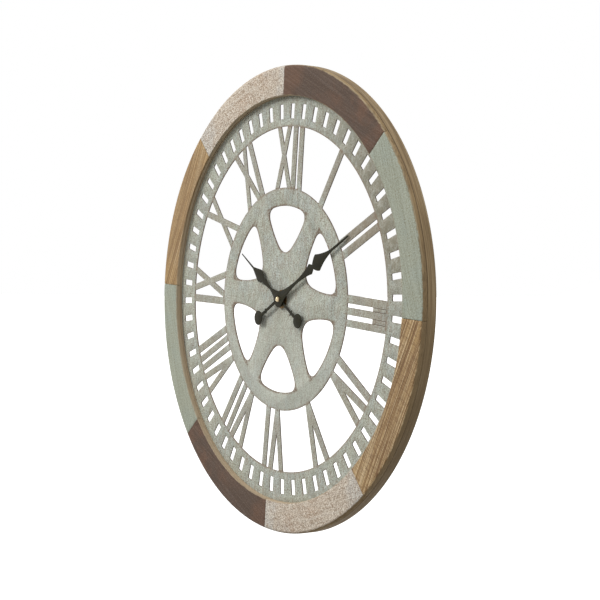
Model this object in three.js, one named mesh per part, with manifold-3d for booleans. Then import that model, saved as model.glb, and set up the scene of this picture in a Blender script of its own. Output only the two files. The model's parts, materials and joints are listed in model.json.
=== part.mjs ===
// Gear wall clock: a pierced metal dial in a rim of eight planks, with a quartz movement behind its hub.
// Millimetres, +Z up, the front looks along -Y. Pieces are built round the hands' axis with y = 0 at
// the dial's front face, and the whole clock is then moved to its origin at the hanging point.
import * as THREE from "three";
import { mergeVertices } from "three/addons/utils/BufferGeometryUtils.js";
import Module from "manifold-3d";

const wasm = await Module();
wasm.setup();

// Gaps between pieces
const seam = 0.3;
const seat = 0.15;
const running = 0.12;

// Rim: planks on a base ring, sized outwards from the opening that the dial shows through
const rimInnerRadius = 261;
const plankWidth = 39;
const rimAhead = 6.8;
const rimBehind = 11;
const plankThickness = 4;
const rimEdgeRound = 3;
const rimFacets = 56;
const rebateWidth = 9.5;
// Joints between the planks, clockwise from twelve. They are sawn and laid by hand, so not quite even.
const jointBearings = [-2.3, 43.7, 89.1, 135.3, 179.4, 224.5, 268.7, 313.4];
const plankCount = jointBearings.length;

// Dial: one sheet, sized inwards from the rim's opening
const dialThickness = 1.2;
const dialClearance = 0.8;
const minuteRingWidth = 38.5;
const slotCount = 60;
const slotInset = 19;
const slotLength = 19;
const slotWidth = 7.7;
const numeralLength = 78.5;
const strokeBite = 3;
const gearRingWidth = 23.5;
const gearRingFacets = 40;
const shaftHoleClearance = 0.25;

// Windows of the gear ring: triangles with bowed sides and rounded corners. The spoke is measured
// between the corners of two windows before they are rounded.
const windowCount = 6;
const windowApex = 54.3;
const windowSpoke = 34.6;
const windowSideBow = 4.2;
const windowOuterBow = 8.3;
const windowApexRound = 12;
const windowCornerRound = 14;

// Numerals: each stroke runs from the gear ring to the minute ring. Its foot and head are places
// across the numeral's own centre line, and its width is measured across too.
const barWidth = 10.3;
const veeWidth = 10.2;
const crossWidth = 9.2;
const tightWidth = 9;
const bar = (foot, head = foot, width = barWidth) => [[foot, head, width]];
const vee = (apex, left, right, width = veeWidth) => [[apex, left, width], [apex, right, width]];
const cross = (footLeft, headLeft, footRight, headRight) => [
  [footRight, headLeft, crossWidth],
  [footLeft, headRight, crossWidth],
];
const numerals = {
  I: bar(1.7),
  II: [...bar(-8), ...bar(6.8)],
  III: [...bar(-14.5), ...bar(0, 0, tightWidth), ...bar(14.8, 14.8, tightWidth)],
  IV: [...bar(-13.1), ...vee(10, 1.8, 25.4)],
  V: vee(0.7, -11.1, 16.3),
  VI: [...vee(-3.9, -20.3, 5.1), ...bar(17.3, 20.3)],
  VII: [...vee(-14.9, -33.9, -7), ...bar(4, 5.1, tightWidth), ...bar(18.9, 21.5)],
  VIII: [
    ...vee(-22.9, -42.4, -19.1, tightWidth),
    ...bar(-5.7, -5.7, tightWidth),
    ...bar(7.3, 7.3, tightWidth),
    ...bar(19.8, 22),
  ],
  IX: [...bar(-16.7, -19.8), ...cross(-7.5, -4.8, 19.4, 20.6)],
  X: cross(-11.9, -13.3, 14.5, 11.9),
  XI: [...cross(-21.8, -24.2, 4.6, -1.2), ...bar(13.3)],
  XII: [...cross(-25.4, -28.8, 1.2, -4.6), ...bar(9.7), ...bar(24)],
};
// The bars of III are joined at their heads
const joinedNumeral = "III";
const joinedLength = 27.5;

// Screws that hold the dial and the planks to the base ring
const dialScrewInset = 4.6;
const dialScrewHead = 3.2;
const dialScrewShank = 1.2;
const dialScrewBite = 1.4;
const screwHeadHeight = 1.5;
const screwFacets = 6;
const screwClearance = 0.3;

// Hands. Places along a hand are measured from its shaft, halves across it from its middle.
const handThickness = 0.6;
const minuteHandAngle = 57;
const hourHandAngle = 298;
const handHubRadius = 10.5;
const handDiscRadius = 9.3;
const minuteHand = {
  reach: 167,
  tipHalf: 1.3,
  taperEnd: 128,
  taperHalf: 2,
  hollowHalf: 5.1,
  leafAt: 99.5,
  leafHalf: 11.3,
  leafLobe: 0.65,
  neckAt: 87.5,
  neckHalf: 3.2,
  collarAt: 81.5,
  collarHalf: 7.2,
  stemHalf: 2.2,
  flareEnd: 44,
  tailCollarAt: 33.5,
  tailCollarHalf: 3.6,
  tailDiscAt: 52,
  bendAt: 112,
  bend: 3.2,
};
const hourHand = {
  reach: 110,
  tipHalf: 0.7,
  taperEnd: 73,
  taperHalf: 1.4,
  hollowHalf: 5.7,
  leafAt: 54,
  leafHalf: 9.4,
  leafLobe: 0.12,
  neckAt: 45.5,
  neckHalf: 3,
  collarAt: 40,
  collarHalf: 4.4,
  stemHalf: 1.9,
  flareEnd: 25,
  tailCollarAt: 32,
  tailCollarHalf: 4.2,
  tailDiscAt: 50,
  bendAt: 70,
  bend: 1.6,
};

// Shafts and their fasteners, from the dial outwards
const bushingRadius = 4;
const bushingBore = 2.8;
const bushingFacets = 20;
const washerRadius = 12;
const washerThickness = 0.8;
const shaftNutFlats = 14;
const shaftNutHeight = 2.1;
const bushingProud = 0.2;
const hourHandGap = 0.3;
const hourTubeRadius = 2.55;
const hourTubeBore = 1.8;
const hourTubeProud = 0.4;
const handGap = 0.5;
const minuteArborRadius = 1.6;
const minuteArborFlats = 2;
const capNutRadius = 3.5;
const capNutHeight = 3.4;
const capNutWall = 1.2;
const gasketRadius = 13;
const gasketThickness = 1;

// Movement case
const caseSide = 56;
const caseCorner = 4;
const caseDepth = 15.4;
const caseWall = 1.2;
const bayWall = 1;
const bayPartition = 1;
const coverThickness = 1.2;
const coverClearance = 0.15;
const postRadius = 1.2;
const postInset = 2.2;

// Cell and its contacts
const cellRadius = 7.1;
const cellLength = 49.3;
const nubRadius = 2.75;
const nubLength = 1.2;
const contactThickness = 0.4;
const contactWidth = 7;
const contactTab = 2;

// Wheels: teeth and centre distances
const minutePinionTeeth = 8;
const motionWheelTeeth = 24;
const motionPinionTeeth = 8;
const hourWheelTeeth = 32;
const motionDistance = 12;
const motionBearing = 180;
const centreWheelTeeth = 48;
const trainPinionTeeth = 6;
const thirdWheelTeeth = 45;
const thirdDistance = 10.8;
const thirdBearing = 110;
const secondWheelTeeth = 36;
const stepDistance = 11;
const stepBearing = -10;
const stepWheelTeeth = 30;
const rotorDistance = 7.5;
const rotorBearing = 90;

// Layers of the movement, each a depth along the arbors
const layerGap = 0.3;
const motionLayer = 1.1;
const trainLayer = 0.8;
const plateThickness = 1;
const arborRadius = 0.7;
const settingArborRadius = 1;
const magnetRadius = 3;
const magnetLength = 2.2;
const knobRadius = 4.8;
const knobHeight = 2.6;
const knobRibs = 8;
const wellClearance = 1;

// Motor and electronics
const statorThickness = 0.8;
const statorHoleClearance = 0.4;
const coreWidth = 2.6;
const coreThickness = 1.2;
const coilX = 21.8;
const coilLow = -6.5;
const coilHigh = 14.5;
const coilRadius = 3.3;
const bobbinFlange = 3.7;
const bobbinWall = 1;
const boardWidth = 18;
const boardHeight = 6.4;
const boardThickness = 1;
const chipSide = 4;
const chipHeight = 0.9;
const chipInset = 5.4;
const crystalRadius = 0.9;
const crystalLength = 6;

// Back of the clock
const padHeight = 7.6;
const padRadius = 7;
const padInset = 17;
const hangerInset = 14;
const hangerWidth = 46;
const hangerHeight = 20;
const hangerThickness = 1.5;
const keyholeHead = 4.5;
const keyholeNeck = 2.2;
const keyholeTravel = 7;
const hangerScrewInset = 6;
const hangerScrewHead = 3;
const hangerScrewShank = 1.3;
const hangerScrewLength = 7;
const pocketClearance = 1.2;
const pocketDepth = 5;

// Radii worked out from the sizes above
const rimRadius = rimInnerRadius + plankWidth;
const rebateRadius = rimInnerRadius + rebateWidth;
const dialRadius = rebateRadius - dialClearance;
const dialScrewRadius = rimInnerRadius + dialScrewInset;
const slotRadius = rimInnerRadius - slotInset;
const minuteRingInner = rimInnerRadius - minuteRingWidth;
const gearRingRadius = minuteRingInner - numeralLength;
const windowOuter = gearRingRadius - gearRingWidth;
const padCentreRadius = rimRadius - padInset;
const hangerRadius = rimRadius - hangerInset;

// Depths worked out from the sizes above, +Y pointing back
const rimFrontY = -rimAhead;
const plankBackY = rimFrontY + plankThickness;
const baseFrontY = plankBackY + seam;
const rimBackY = rimBehind;
const wallY = rimBackY + seat + padHeight;
const washerFrontY = -seat - washerThickness;
const shaftNutFrontY = washerFrontY - seat - shaftNutHeight;
const bushingFrontY = shaftNutFrontY - bushingProud;
const hourHandBackY = bushingFrontY - hourHandGap;
const hourHandFrontY = hourHandBackY - handThickness;
const hourTubeFrontY = hourHandFrontY - hourTubeProud;
const minuteHandBackY = hourTubeFrontY - handGap;
const minuteHandFrontY = minuteHandBackY - handThickness;
const minuteShoulderY = minuteHandBackY + seat;
const capNutBackY = minuteHandFrontY - seat;
const capNutFrontY = capNutBackY - capNutHeight;
const minuteArborFrontY = capNutFrontY + capNutWall + seat;
const gasketFrontY = dialThickness + seat;
const caseFrontY = gasketFrontY + gasketThickness + seat;
const cavityFrontY = caseFrontY + caseWall;
const bayFrontY = caseFrontY + bayWall;
const caseBackY = caseFrontY + caseDepth;
const coverFrontY = caseBackY - coverThickness;

const hourLayer = [cavityFrontY + layerGap, cavityFrontY + layerGap + motionLayer];
const motionWheelLayer = [hourLayer[1] + layerGap, hourLayer[1] + layerGap + motionLayer];
const plateLayer = [motionWheelLayer[1] + layerGap, motionWheelLayer[1] + layerGap + plateThickness];
const centreLayer = [plateLayer[1] + layerGap, plateLayer[1] + layerGap + trainLayer];
const thirdLayer = [centreLayer[1] + layerGap, centreLayer[1] + layerGap + trainLayer];
const secondLayer = [thirdLayer[1] + layerGap, thirdLayer[1] + layerGap + trainLayer];
const stepLayer = [secondLayer[1] + layerGap, secondLayer[1] + layerGap + trainLayer];
const magnetLayer = [stepLayer[1] + layerGap, stepLayer[1] + layerGap + magnetLength];
const statorMiddle = (magnetLayer[0] + magnetLayer[1]) / 2;
const statorLayer = [statorMiddle - statorThickness / 2, statorMiddle + statorThickness / 2];
const coreLayer = [statorLayer[0] - seat - coreThickness, statorLayer[0] - seat];
const coilY = (coreLayer[0] + coreLayer[1]) / 2;
const arborBackY = coverFrontY + coverThickness / 2;
const knobBackY = caseBackY - seat;
const knobFrontY = knobBackY - knobHeight;

// Movement plan: centre distances turned into places in x and z
const degrees = (angle) => (angle * Math.PI) / 180;
const polar = (radius, bearing, from = [0, 0]) => [
  from[0] + radius * Math.cos(degrees(bearing)),
  from[1] + radius * Math.sin(degrees(bearing)),
];
const centre = [0, 0];
const motionAxis = polar(motionDistance, motionBearing);
const thirdAxis = polar(thirdDistance, thirdBearing);
const stepAxis = polar(stepDistance, stepBearing);
const rotorAxis = polar(rotorDistance, rotorBearing, stepAxis);
const caseHalf = caseSide / 2;
const cavityHalf = caseHalf - caseWall;
const cellZ = -cavityHalf + seat + cellRadius;
const bayTop = cellZ + cellRadius + seat;
const cavityBottom = bayTop + bayPartition;
const cellY = bayFrontY + seat + cellRadius;
const contactX = cavityHalf - seat;
const nubEnd = contactX - contactThickness - seat;
const cellEnd = nubEnd - nubLength;
const cellStart = cellEnd - cellLength;

// Solids from three.js shapes. A shape's x and y become the clock's x and z.
function prism(shape, frontY, backY, curveSegments = 12) {
  const depth = backY - frontY;
  const geometry = new THREE.ExtrudeGeometry(shape, { depth, bevelEnabled: false, curveSegments });
  return geometry.rotateX(Math.PI / 2).translate(0, backY, 0);
}

// A profile of [radius, y] points turned round an axis along Y through [x, z]
function turned(profile, facets, [x, z] = centre) {
  const area = profile.reduce((sum, [r, y], i) => {
    const [nextR, nextY] = profile[(i + 1) % profile.length];
    return sum + r * nextY - nextR * y;
  }, 0);
  const ordered = area > 0 ? profile : [...profile].reverse();
  const onAxis = ordered.filter(([r]) => r === 0).length === 2;
  const start = onAxis ? ordered.findIndex(([r], i) => r === 0 && ordered.at(i - 1)[0] === 0) : 0;
  const rotated = [...ordered.slice(start), ...ordered.slice(0, start)];
  const points = (onAxis ? rotated : [...rotated, rotated[0]]).map(([r, y]) => new THREE.Vector2(r, y));
  return new THREE.LatheGeometry(points, facets).translate(x, 0, z);
}

function cylinder(radius, frontY, backY, facets, at = centre) {
  return turned([[0, frontY], [radius, frontY], [radius, backY], [0, backY]], facets, at);
}

function tube(outer, bore, frontY, backY, facets, at = centre) {
  return turned([[bore, frontY], [outer, frontY], [outer, backY], [bore, backY]], facets, at);
}

function box([x0, x1], [y0, y1], [z0, z1]) {
  const geometry = new THREE.BoxGeometry(x1 - x0, y1 - y0, z1 - z0);
  return geometry.translate((x0 + x1) / 2, (y0 + y1) / 2, (z0 + z1) / 2);
}

function polygon(points) {
  return new THREE.Shape(points.map(([x, y]) => new THREE.Vector2(x, y)));
}

function disc(radius, facets) {
  return polygon(Array.from({ length: facets }, (_, i) => polar(radius, (360 * i) / facets)));
}

function roundedRectangle([x0, x1], [z0, z1], radius) {
  const shape = new THREE.Shape();
  shape.moveTo(x0 + radius, z0);
  shape.absarc(x1 - radius, z0 + radius, radius, -Math.PI / 2, 0);
  shape.absarc(x1 - radius, z1 - radius, radius, 0, Math.PI / 2);
  shape.absarc(x0 + radius, z1 - radius, radius, Math.PI / 2, Math.PI);
  shape.absarc(x0 + radius, z0 + radius, radius, Math.PI, 1.5 * Math.PI);
  return shape;
}

// Joining and cutting
function solid(geometry) {
  const bare = geometry.clone();
  bare.deleteAttribute("normal");
  bare.deleteAttribute("uv");
  const merged = mergeVertices(bare, 1e-5);
  return new wasm.Manifold(
    new wasm.Mesh({
      numProp: 3,
      vertProperties: new Float32Array(merged.attributes.position.array),
      triVerts: new Uint32Array(merged.index.array),
    }),
  );
}

function geometryOf(manifold) {
  const mesh = manifold.getMesh();
  const geometry = new THREE.BufferGeometry();
  geometry.setAttribute("position", new THREE.BufferAttribute(new Float32Array(mesh.vertProperties), 3));
  geometry.setIndex([...mesh.triVerts]);
  return geometry;
}

function joined(geometries, cuts = []) {
  let whole = solid(geometries[0]);
  for (const geometry of geometries.slice(1)) whole = whole.add(solid(geometry));
  for (const geometry of cuts) whole = whole.subtract(solid(geometry));
  return geometryOf(whole);
}

function material(color, roughness, metalness = 0) {
  return () => new THREE.MeshStandardMaterial({ color, roughness, metalness });
}

const finish = {
  darkPlank: material(0x5f4a42, 0.8),
  sagePlank: material(0xa2a997, 0.8),
  naturalPlank: material(0xaa875c, 0.75),
  whitePlank: material(0xc3b5a2, 0.85),
  baseWood: material(0x86704f, 0.75),
  dialSheet: material(0xafb2a2, 0.7, 0.3),
  handBlack: material(0x2c2c2a, 0.5, 0.4),
  brass: material(0xb08d4a, 0.35, 0.9),
  steel: material(0xb9bcc0, 0.4, 0.9),
  rubber: material(0x26262a, 0.9),
  caseBlack: material(0x1f2022, 0.55),
  gearWhite: material(0xe4e2da, 0.5),
  gearYellow: material(0xd8c27a, 0.5),
  magnet: material(0x55585c, 0.5, 0.6),
  copper: material(0xb4683a, 0.45, 0.7),
  bobbin: material(0xe8e4d4, 0.6),
  board: material(0x2f6b3c, 0.6),
  chip: material(0x17181a, 0.5),
  cell: material(0x3a4048, 0.4, 0.3),
};

const clock = new THREE.Group();

function piece(name, geometry, look, turnedBy = 0) {
  const mesh = new THREE.Mesh(geometry, look());
  mesh.name = name;
  mesh.rotation.y = degrees(turnedBy);
  clock.add(mesh);
}

// Rim
function plankRing() {
  const profile = [
    [rimInnerRadius, plankBackY],
    [rimInnerRadius, rimFrontY],
  ];
  for (const part of [0, 1 / 2, 1]) {
    const angle = (part * Math.PI) / 2;
    profile.push([
      rimRadius - rimEdgeRound * (1 - Math.sin(angle)),
      rimFrontY + rimEdgeRound * (1 - Math.cos(angle)),
    ]);
  }
  profile.push([rimRadius, plankBackY]);
  return solid(turned(profile, rimFacets));
}

// A wedge of the circle whose two sides stand half a seam off the joint lines
function wedge(fromBearing, toBearing) {
  const half = (toBearing - fromBearing) / 2;
  const apex = polar(seam / 2 / Math.sin(degrees(half)), fromBearing + half);
  const reach = 2 * rimRadius;
  const corners = [fromBearing, fromBearing + half, toBearing].map((b) => polar(reach, b, apex));
  return solid(prism(polygon([apex, ...corners]), rimFrontY - 1, plankBackY + 1));
}

function rim() {
  const ring = plankRing();
  const looks = [finish.darkPlank, finish.sagePlank, finish.naturalPlank, finish.whitePlank];
  const holeEnds = [plankBackY - dialScrewBite - seam, plankBackY + 1];
  const screws = dialScrewPlaces();
  jointBearings.forEach((bearing, i) => {
    const nextBearing = jointBearings[i + 1] ?? jointBearings[0] + 360;
    const hole = cylinder(dialScrewShank + running, ...holeEnds, screwFacets, screws[i]);
    const plank = ring.intersect(wedge(90 - nextBearing, 90 - bearing)).subtract(solid(hole));
    piece(`rim_plank_${i + 1}`, geometryOf(plank), looks[i % looks.length]);
  });
  piece("rim_base", rimBase(), finish.baseWood);
}

function rimBase() {
  const ring = turned(
    [
      [rimInnerRadius, baseFrontY],
      [rimRadius, baseFrontY],
      [rimRadius, rimBackY],
      [rebateRadius, rimBackY],
      [rebateRadius, -seat],
      [rimInnerRadius, -seat],
    ],
    rimFacets,
  );
  const holes = dialScrewPlaces().map((at) =>
    cylinder(dialScrewShank + running, baseFrontY - 1, 1, screwFacets, at),
  );
  const pocket = prism(
    keyholeOutline(pocketClearance),
    rimBackY - pocketDepth,
    rimBackY + 1,
    4,
  );
  const pilotEnds = [rimBackY + hangerThickness - hangerScrewLength, rimBackY + 1];
  const pilots = hangerScrewPlaces().map((at) =>
    cylinder(hangerScrewShank + running, ...pilotEnds, screwFacets, at),
  );
  return joined([ring], [...holes, pocket, ...pilots]);
}

function dialScrewPlaces() {
  const sector = 360 / plankCount;
  return Array.from({ length: plankCount }, (_, i) => polar(dialScrewRadius, 90 - (i + 0.5) * sector));
}

function screw(headRadius, shankRadius, headY, tipY, at) {
  const shoulder = headY + Math.sign(tipY - headY) * screwHeadHeight;
  return turned(
    [
      [0, headY],
      [headRadius * 0.7, headY],
      [headRadius, shoulder],
      [shankRadius, shoulder],
      [shankRadius, tipY],
      [0, tipY],
    ],
    screwFacets,
    at,
  );
}

// Dial
function strokeShape([foot, head, width], bearing) {
  const slope = (head - foot) / (minuteRingInner - gearRingRadius);
  const low = gearRingRadius - strokeBite;
  const high = minuteRingInner + strokeBite;
  const across = (radius) => foot + slope * (radius - gearRingRadius);
  const corners = [
    [across(low) - width / 2, low],
    [across(low) + width / 2, low],
    [across(high) + width / 2, high],
    [across(high) - width / 2, high],
  ];
  return polygon(corners.map((corner) => onDial(corner, bearing)));
}

// A point across and along a numeral's centre line, clockwise bearing from twelve
function onDial([across, along], bearing) {
  const turn = degrees(bearing);
  return [
    along * Math.sin(turn) + across * Math.cos(turn),
    along * Math.cos(turn) - across * Math.sin(turn),
  ];
}

// The right half of a window from its apex to the middle of its outer edge, mirrored to the left
function windowShape(bearing) {
  const half = degrees(180 / windowCount);
  const cornerAlong = windowOuter - windowOuterBow;
  const cornerAcross = (cornerAlong * Math.sin(half) - windowSpoke / 2) / Math.cos(half);
  const apex = new THREE.Vector2(0, windowApex);
  const corner = new THREE.Vector2(cornerAcross, cornerAlong);
  const run = corner.clone().sub(apex);
  const outward = new THREE.Vector2(run.y, -run.x).normalize();
  const sideControl = apex.clone().addScaledVector(run, 0.5).addScaledVector(outward, 2 * windowSideBow);
  const side = new THREE.QuadraticBezierCurve(apex, sideControl, corner);
  const outerControl = new THREE.Vector2(0, cornerAlong + 2 * windowOuterBow);
  const otherCorner = new THREE.Vector2(-cornerAcross, cornerAlong);
  const outer = new THREE.QuadraticBezierCurve(corner, outerControl, otherCorner);
  const part = (curve, from, to, steps) =>
    Array.from({ length: steps + 1 }, (_, i) => curve.getPointAt(from + ((to - from) * i) / steps));
  const sideLength = side.getLength();
  const sidePoints = part(side, windowApexRound / sideLength, 1 - windowCornerRound / sideLength, 3);
  const outerPoints = part(outer, windowCornerRound / outer.getLength(), 0.5, 2);
  const [sideStart] = sidePoints;
  const mirrored = new THREE.Vector2(-sideStart.x, sideStart.y);
  const apexPoints = new THREE.QuadraticBezierCurve(mirrored, apex, sideStart).getPoints(4).slice(2, -1);
  const rounding = new THREE.QuadraticBezierCurve(sidePoints.at(-1), corner, outerPoints[0]);
  const cornerPoints = rounding.getPoints(3).slice(1, -1);
  const right = [...apexPoints, ...sidePoints, ...cornerPoints, ...outerPoints].map(({ x, y }) => [x, y]);
  const left = right.slice(1, -1).reverse().map(([x, y]) => [-x, y]);
  return polygon([...right, ...left].map((point) => onDial(point, bearing)));
}

function slotShape(bearing) {
  const half = slotWidth / 2;
  const inner = slotRadius - slotLength / 2;
  const outer = slotRadius + slotLength / 2;
  const corners = [[-half, inner], [half, inner], [half, outer], [-half, outer]];
  return polygon(corners.map((corner) => onDial(corner, bearing)));
}

function dial() {
  const through = [-1, dialThickness + 1];
  const minuteRing = disc(dialRadius, rimFacets);
  minuteRing.holes.push(disc(minuteRingInner, rimFacets));
  const rings = [minuteRing, disc(gearRingRadius, gearRingFacets)];
  const bodies = rings.map((ring) => prism(ring, 0, dialThickness));
  Object.entries(numerals).forEach(([name, strokes], i) => {
    const bearing = 30 * (i + 1);
    for (const stroke of strokes) bodies.push(prism(strokeShape(stroke, bearing), 0, dialThickness));
    if (name !== joinedNumeral) return;
    const feet = strokes.map(([foot]) => foot);
    const high = minuteRingInner + strokeBite;
    const low = minuteRingInner - joinedLength;
    const web = [
      [Math.min(...feet), low],
      [Math.max(...feet), low],
      [Math.max(...feet), high],
      [Math.min(...feet), high],
    ];
    bodies.push(prism(polygon(web.map((corner) => onDial(corner, bearing))), 0, dialThickness));
  });
  const cuts = [cylinder(bushingRadius + shaftHoleClearance, ...through, bushingFacets)];
  for (let i = 0; i < slotCount; i += 1) cuts.push(prism(slotShape((360 * i) / slotCount), ...through));
  for (let i = 0; i < windowCount; i += 1) {
    cuts.push(prism(windowShape((360 * i) / windowCount), ...through));
  }
  for (const at of dialScrewPlaces()) {
    cuts.push(cylinder(dialScrewShank + screwClearance, ...through, screwFacets, at));
  }
  piece("dial", joined(bodies, cuts), finish.dialSheet);
  dialScrewPlaces().forEach((at, i) => {
    const headY = dialThickness + seat + screwHeadHeight;
    const geometry = screw(dialScrewHead, dialScrewShank, headY, plankBackY - dialScrewBite, at);
    piece(`dial_screw_${i + 1}`, geometry, finish.steel);
  });
}

// Hands: one side of the outline from tail to tip, mirrored to the other side
function handShape(hand, hole) {
  const discMeets = Math.asin(hand.stemHalf / handDiscRadius);
  const hubMeets = Math.asin(hand.stemHalf / handHubRadius);
  const flareFrom = degrees(55);
  const side = new THREE.Path();
  side.moveTo(-hand.tailDiscAt - handDiscRadius, 0);
  side.absarc(-hand.tailDiscAt, 0, handDiscRadius, Math.PI, discMeets, true);
  side.lineTo(-hand.tailCollarAt - hand.stemHalf, hand.stemHalf);
  side.lineTo(-hand.tailCollarAt, hand.tailCollarHalf);
  side.lineTo(-hand.tailCollarAt + hand.stemHalf, hand.stemHalf * 0.9);
  side.absarc(0, 0, handHubRadius, Math.PI - hubMeets, flareFrom, true);
  side.quadraticCurveTo(handHubRadius * 1.6, hand.stemHalf * 1.6, hand.flareEnd, hand.stemHalf);
  side.quadraticCurveTo(hand.collarAt * 0.81, hand.stemHalf, hand.collarAt, hand.collarHalf);
  side.lineTo(hand.neckAt, hand.neckHalf);
  const lobeAt = hand.neckAt + hand.leafLobe * (hand.leafAt - hand.neckAt);
  side.quadraticCurveTo(lobeAt, hand.leafHalf, hand.leafAt, hand.leafHalf);
  const hollowAt = hand.leafAt + 0.41 * (hand.taperEnd - hand.leafAt);
  side.quadraticCurveTo(hollowAt, hand.hollowHalf, hand.taperEnd, hand.taperHalf);
  side.lineTo(hand.reach, hand.tipHalf);
  const upper = side.getPoints(4).filter((point, i, all) => i === 0 || point.distanceTo(all[i - 1]) > 1e-4);
  const lower = upper.slice(1).reverse().map((point) => new THREE.Vector2(point.x, -point.y));
  const shape = new THREE.Shape([...upper, ...lower].reverse());
  shape.holes.push(hole);
  return shape;
}

// The blade leans back towards the dial beyond its bend
function bent(geometry, hand) {
  const position = geometry.attributes.position;
  for (let i = 0; i < position.count; i += 1) {
    const beyond = Math.max(0, position.getX(i) - hand.bendAt) / (hand.reach - hand.bendAt);
    position.setY(i, position.getY(i) + beyond * hand.bend);
  }
  return geometry;
}

function roundHole(radius) {
  return new THREE.Path().absarc(0, 0, radius, 0, 2 * Math.PI, true);
}

// A circle with two flats across z, for the minute arbor and the hand that it turns
function flattened(PathKind, radius, flats) {
  const half = Math.asin(flats / 2 / radius);
  const path = new PathKind();
  path.absarc(0, 0, radius, -half, half);
  path.absarc(0, 0, radius, Math.PI - half, Math.PI + half);
  path.closePath();
  return path;
}

function hands() {
  const hourHole = roundHole(hourTubeRadius + running);
  const hourPlate = prism(handShape(hourHand, hourHole), hourHandFrontY, hourHandBackY, 8);
  piece("hour_hand", bent(hourPlate, hourHand), finish.handBlack, hourHandAngle - 90);
  const minuteHole = flattened(THREE.Path, minuteArborRadius + running, minuteArborFlats + 2 * running);
  const minutePlate = prism(handShape(minuteHand, minuteHole), minuteHandFrontY, minuteHandBackY, 8);
  piece("minute_hand", bent(minutePlate, minuteHand), finish.handBlack, minuteHandAngle - 90);
}

function shaftFasteners() {
  const bore = minuteArborRadius + running;
  const capNut = turned(
    [
      [bore, capNutBackY],
      [capNutRadius, capNutBackY],
      [capNutRadius, capNutBackY - capNutHeight * 0.45],
      [capNutRadius * 0.87, capNutBackY - capNutHeight * 0.75],
      [capNutRadius * 0.5, capNutFrontY + capNutHeight * 0.06],
      [0, capNutFrontY],
      [0, capNutFrontY + capNutWall],
      [bore, capNutFrontY + capNutWall],
    ],
    16,
  );
  piece("minute_cap_nut", capNut, finish.brass);
  const hexagon = Array.from({ length: 6 }, (_, i) => polar(shaftNutFlats / Math.sqrt(3), 60 * i));
  const nut = polygon(hexagon);
  nut.holes.push(roundHole(bushingRadius + running));
  piece("shaft_nut", prism(nut, shaftNutFrontY, washerFrontY - seat, 10), finish.brass);
  const washer = tube(washerRadius, bushingRadius + running, washerFrontY, -seat, bushingFacets);
  piece("shaft_washer", washer, finish.brass);
  const gasketEnds = [gasketFrontY, gasketFrontY + gasketThickness];
  const gasket = tube(gasketRadius, bushingRadius + running, ...gasketEnds, bushingFacets);
  piece("case_gasket", gasket, finish.rubber);
}

// Toothed wheels. A wheel's teeth are long and narrow to their tips, a pinion's leaves are short and
// thin, and where the two meet the wheel shows a tooth and the pinion a gap. Widths are shares of the
// pitch, heights shares of the module.
const wheelTooth = { above: 0.95, below: 0.85, halfAtRoot: 0.27, halfAtTip: 0.11 };
const pinionLeaf = { above: 0.55, below: 1.25, halfAtRoot: 0.2, halfAtTip: 0.12 };

function toothed(teeth, pitchRadius, tooth, facing) {
  const module = (2 * pitchRadius) / teeth;
  const pitch = (2 * Math.PI) / teeth;
  const corners = [
    [-tooth.halfAtRoot, -tooth.below],
    [-tooth.halfAtTip, tooth.above],
    [tooth.halfAtTip, tooth.above],
    [tooth.halfAtRoot, -tooth.below],
  ];
  const points = [];
  for (let i = 0; i < teeth; i += 1) {
    for (const [turn, rise] of corners) {
      const angle = degrees(facing) + (i + turn) * pitch;
      const radius = pitchRadius + rise * module;
      points.push([radius * Math.cos(angle), radius * Math.sin(angle)]);
    }
  }
  return polygon(points);
}

function pitchRadii(distance, wheelTeeth, pinionTeeth) {
  const share = distance / (wheelTeeth + pinionTeeth);
  return { wheel: share * wheelTeeth, pinion: share * pinionTeeth };
}

function wheel(teeth, pitchRadius, facing, layer, at = centre) {
  return prism(toothed(teeth, pitchRadius, wheelTooth, facing), ...layer).translate(at[0], 0, at[1]);
}

function pinion(teeth, pitchRadius, gapFacing, layer, at = centre) {
  const facing = gapFacing + 180 / teeth;
  const slightlyLonger = [layer[0] - layerGap / 3, layer[1] + layerGap / 3];
  const leaves = toothed(teeth, pitchRadius, pinionLeaf, facing);
  return prism(leaves, ...slightlyLonger).translate(at[0], 0, at[1]);
}

const hourMesh = pitchRadii(motionDistance, hourWheelTeeth, motionPinionTeeth);
const minuteMesh = pitchRadii(motionDistance, motionWheelTeeth, minutePinionTeeth);
const centreMesh = pitchRadii(thirdDistance, centreWheelTeeth, trainPinionTeeth);
const thirdMesh = pitchRadii(thirdDistance, thirdWheelTeeth, trainPinionTeeth);
const secondMesh = pitchRadii(stepDistance, secondWheelTeeth, trainPinionTeeth);
const stepMesh = pitchRadii(rotorDistance, stepWheelTeeth, trainPinionTeeth);

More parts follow.
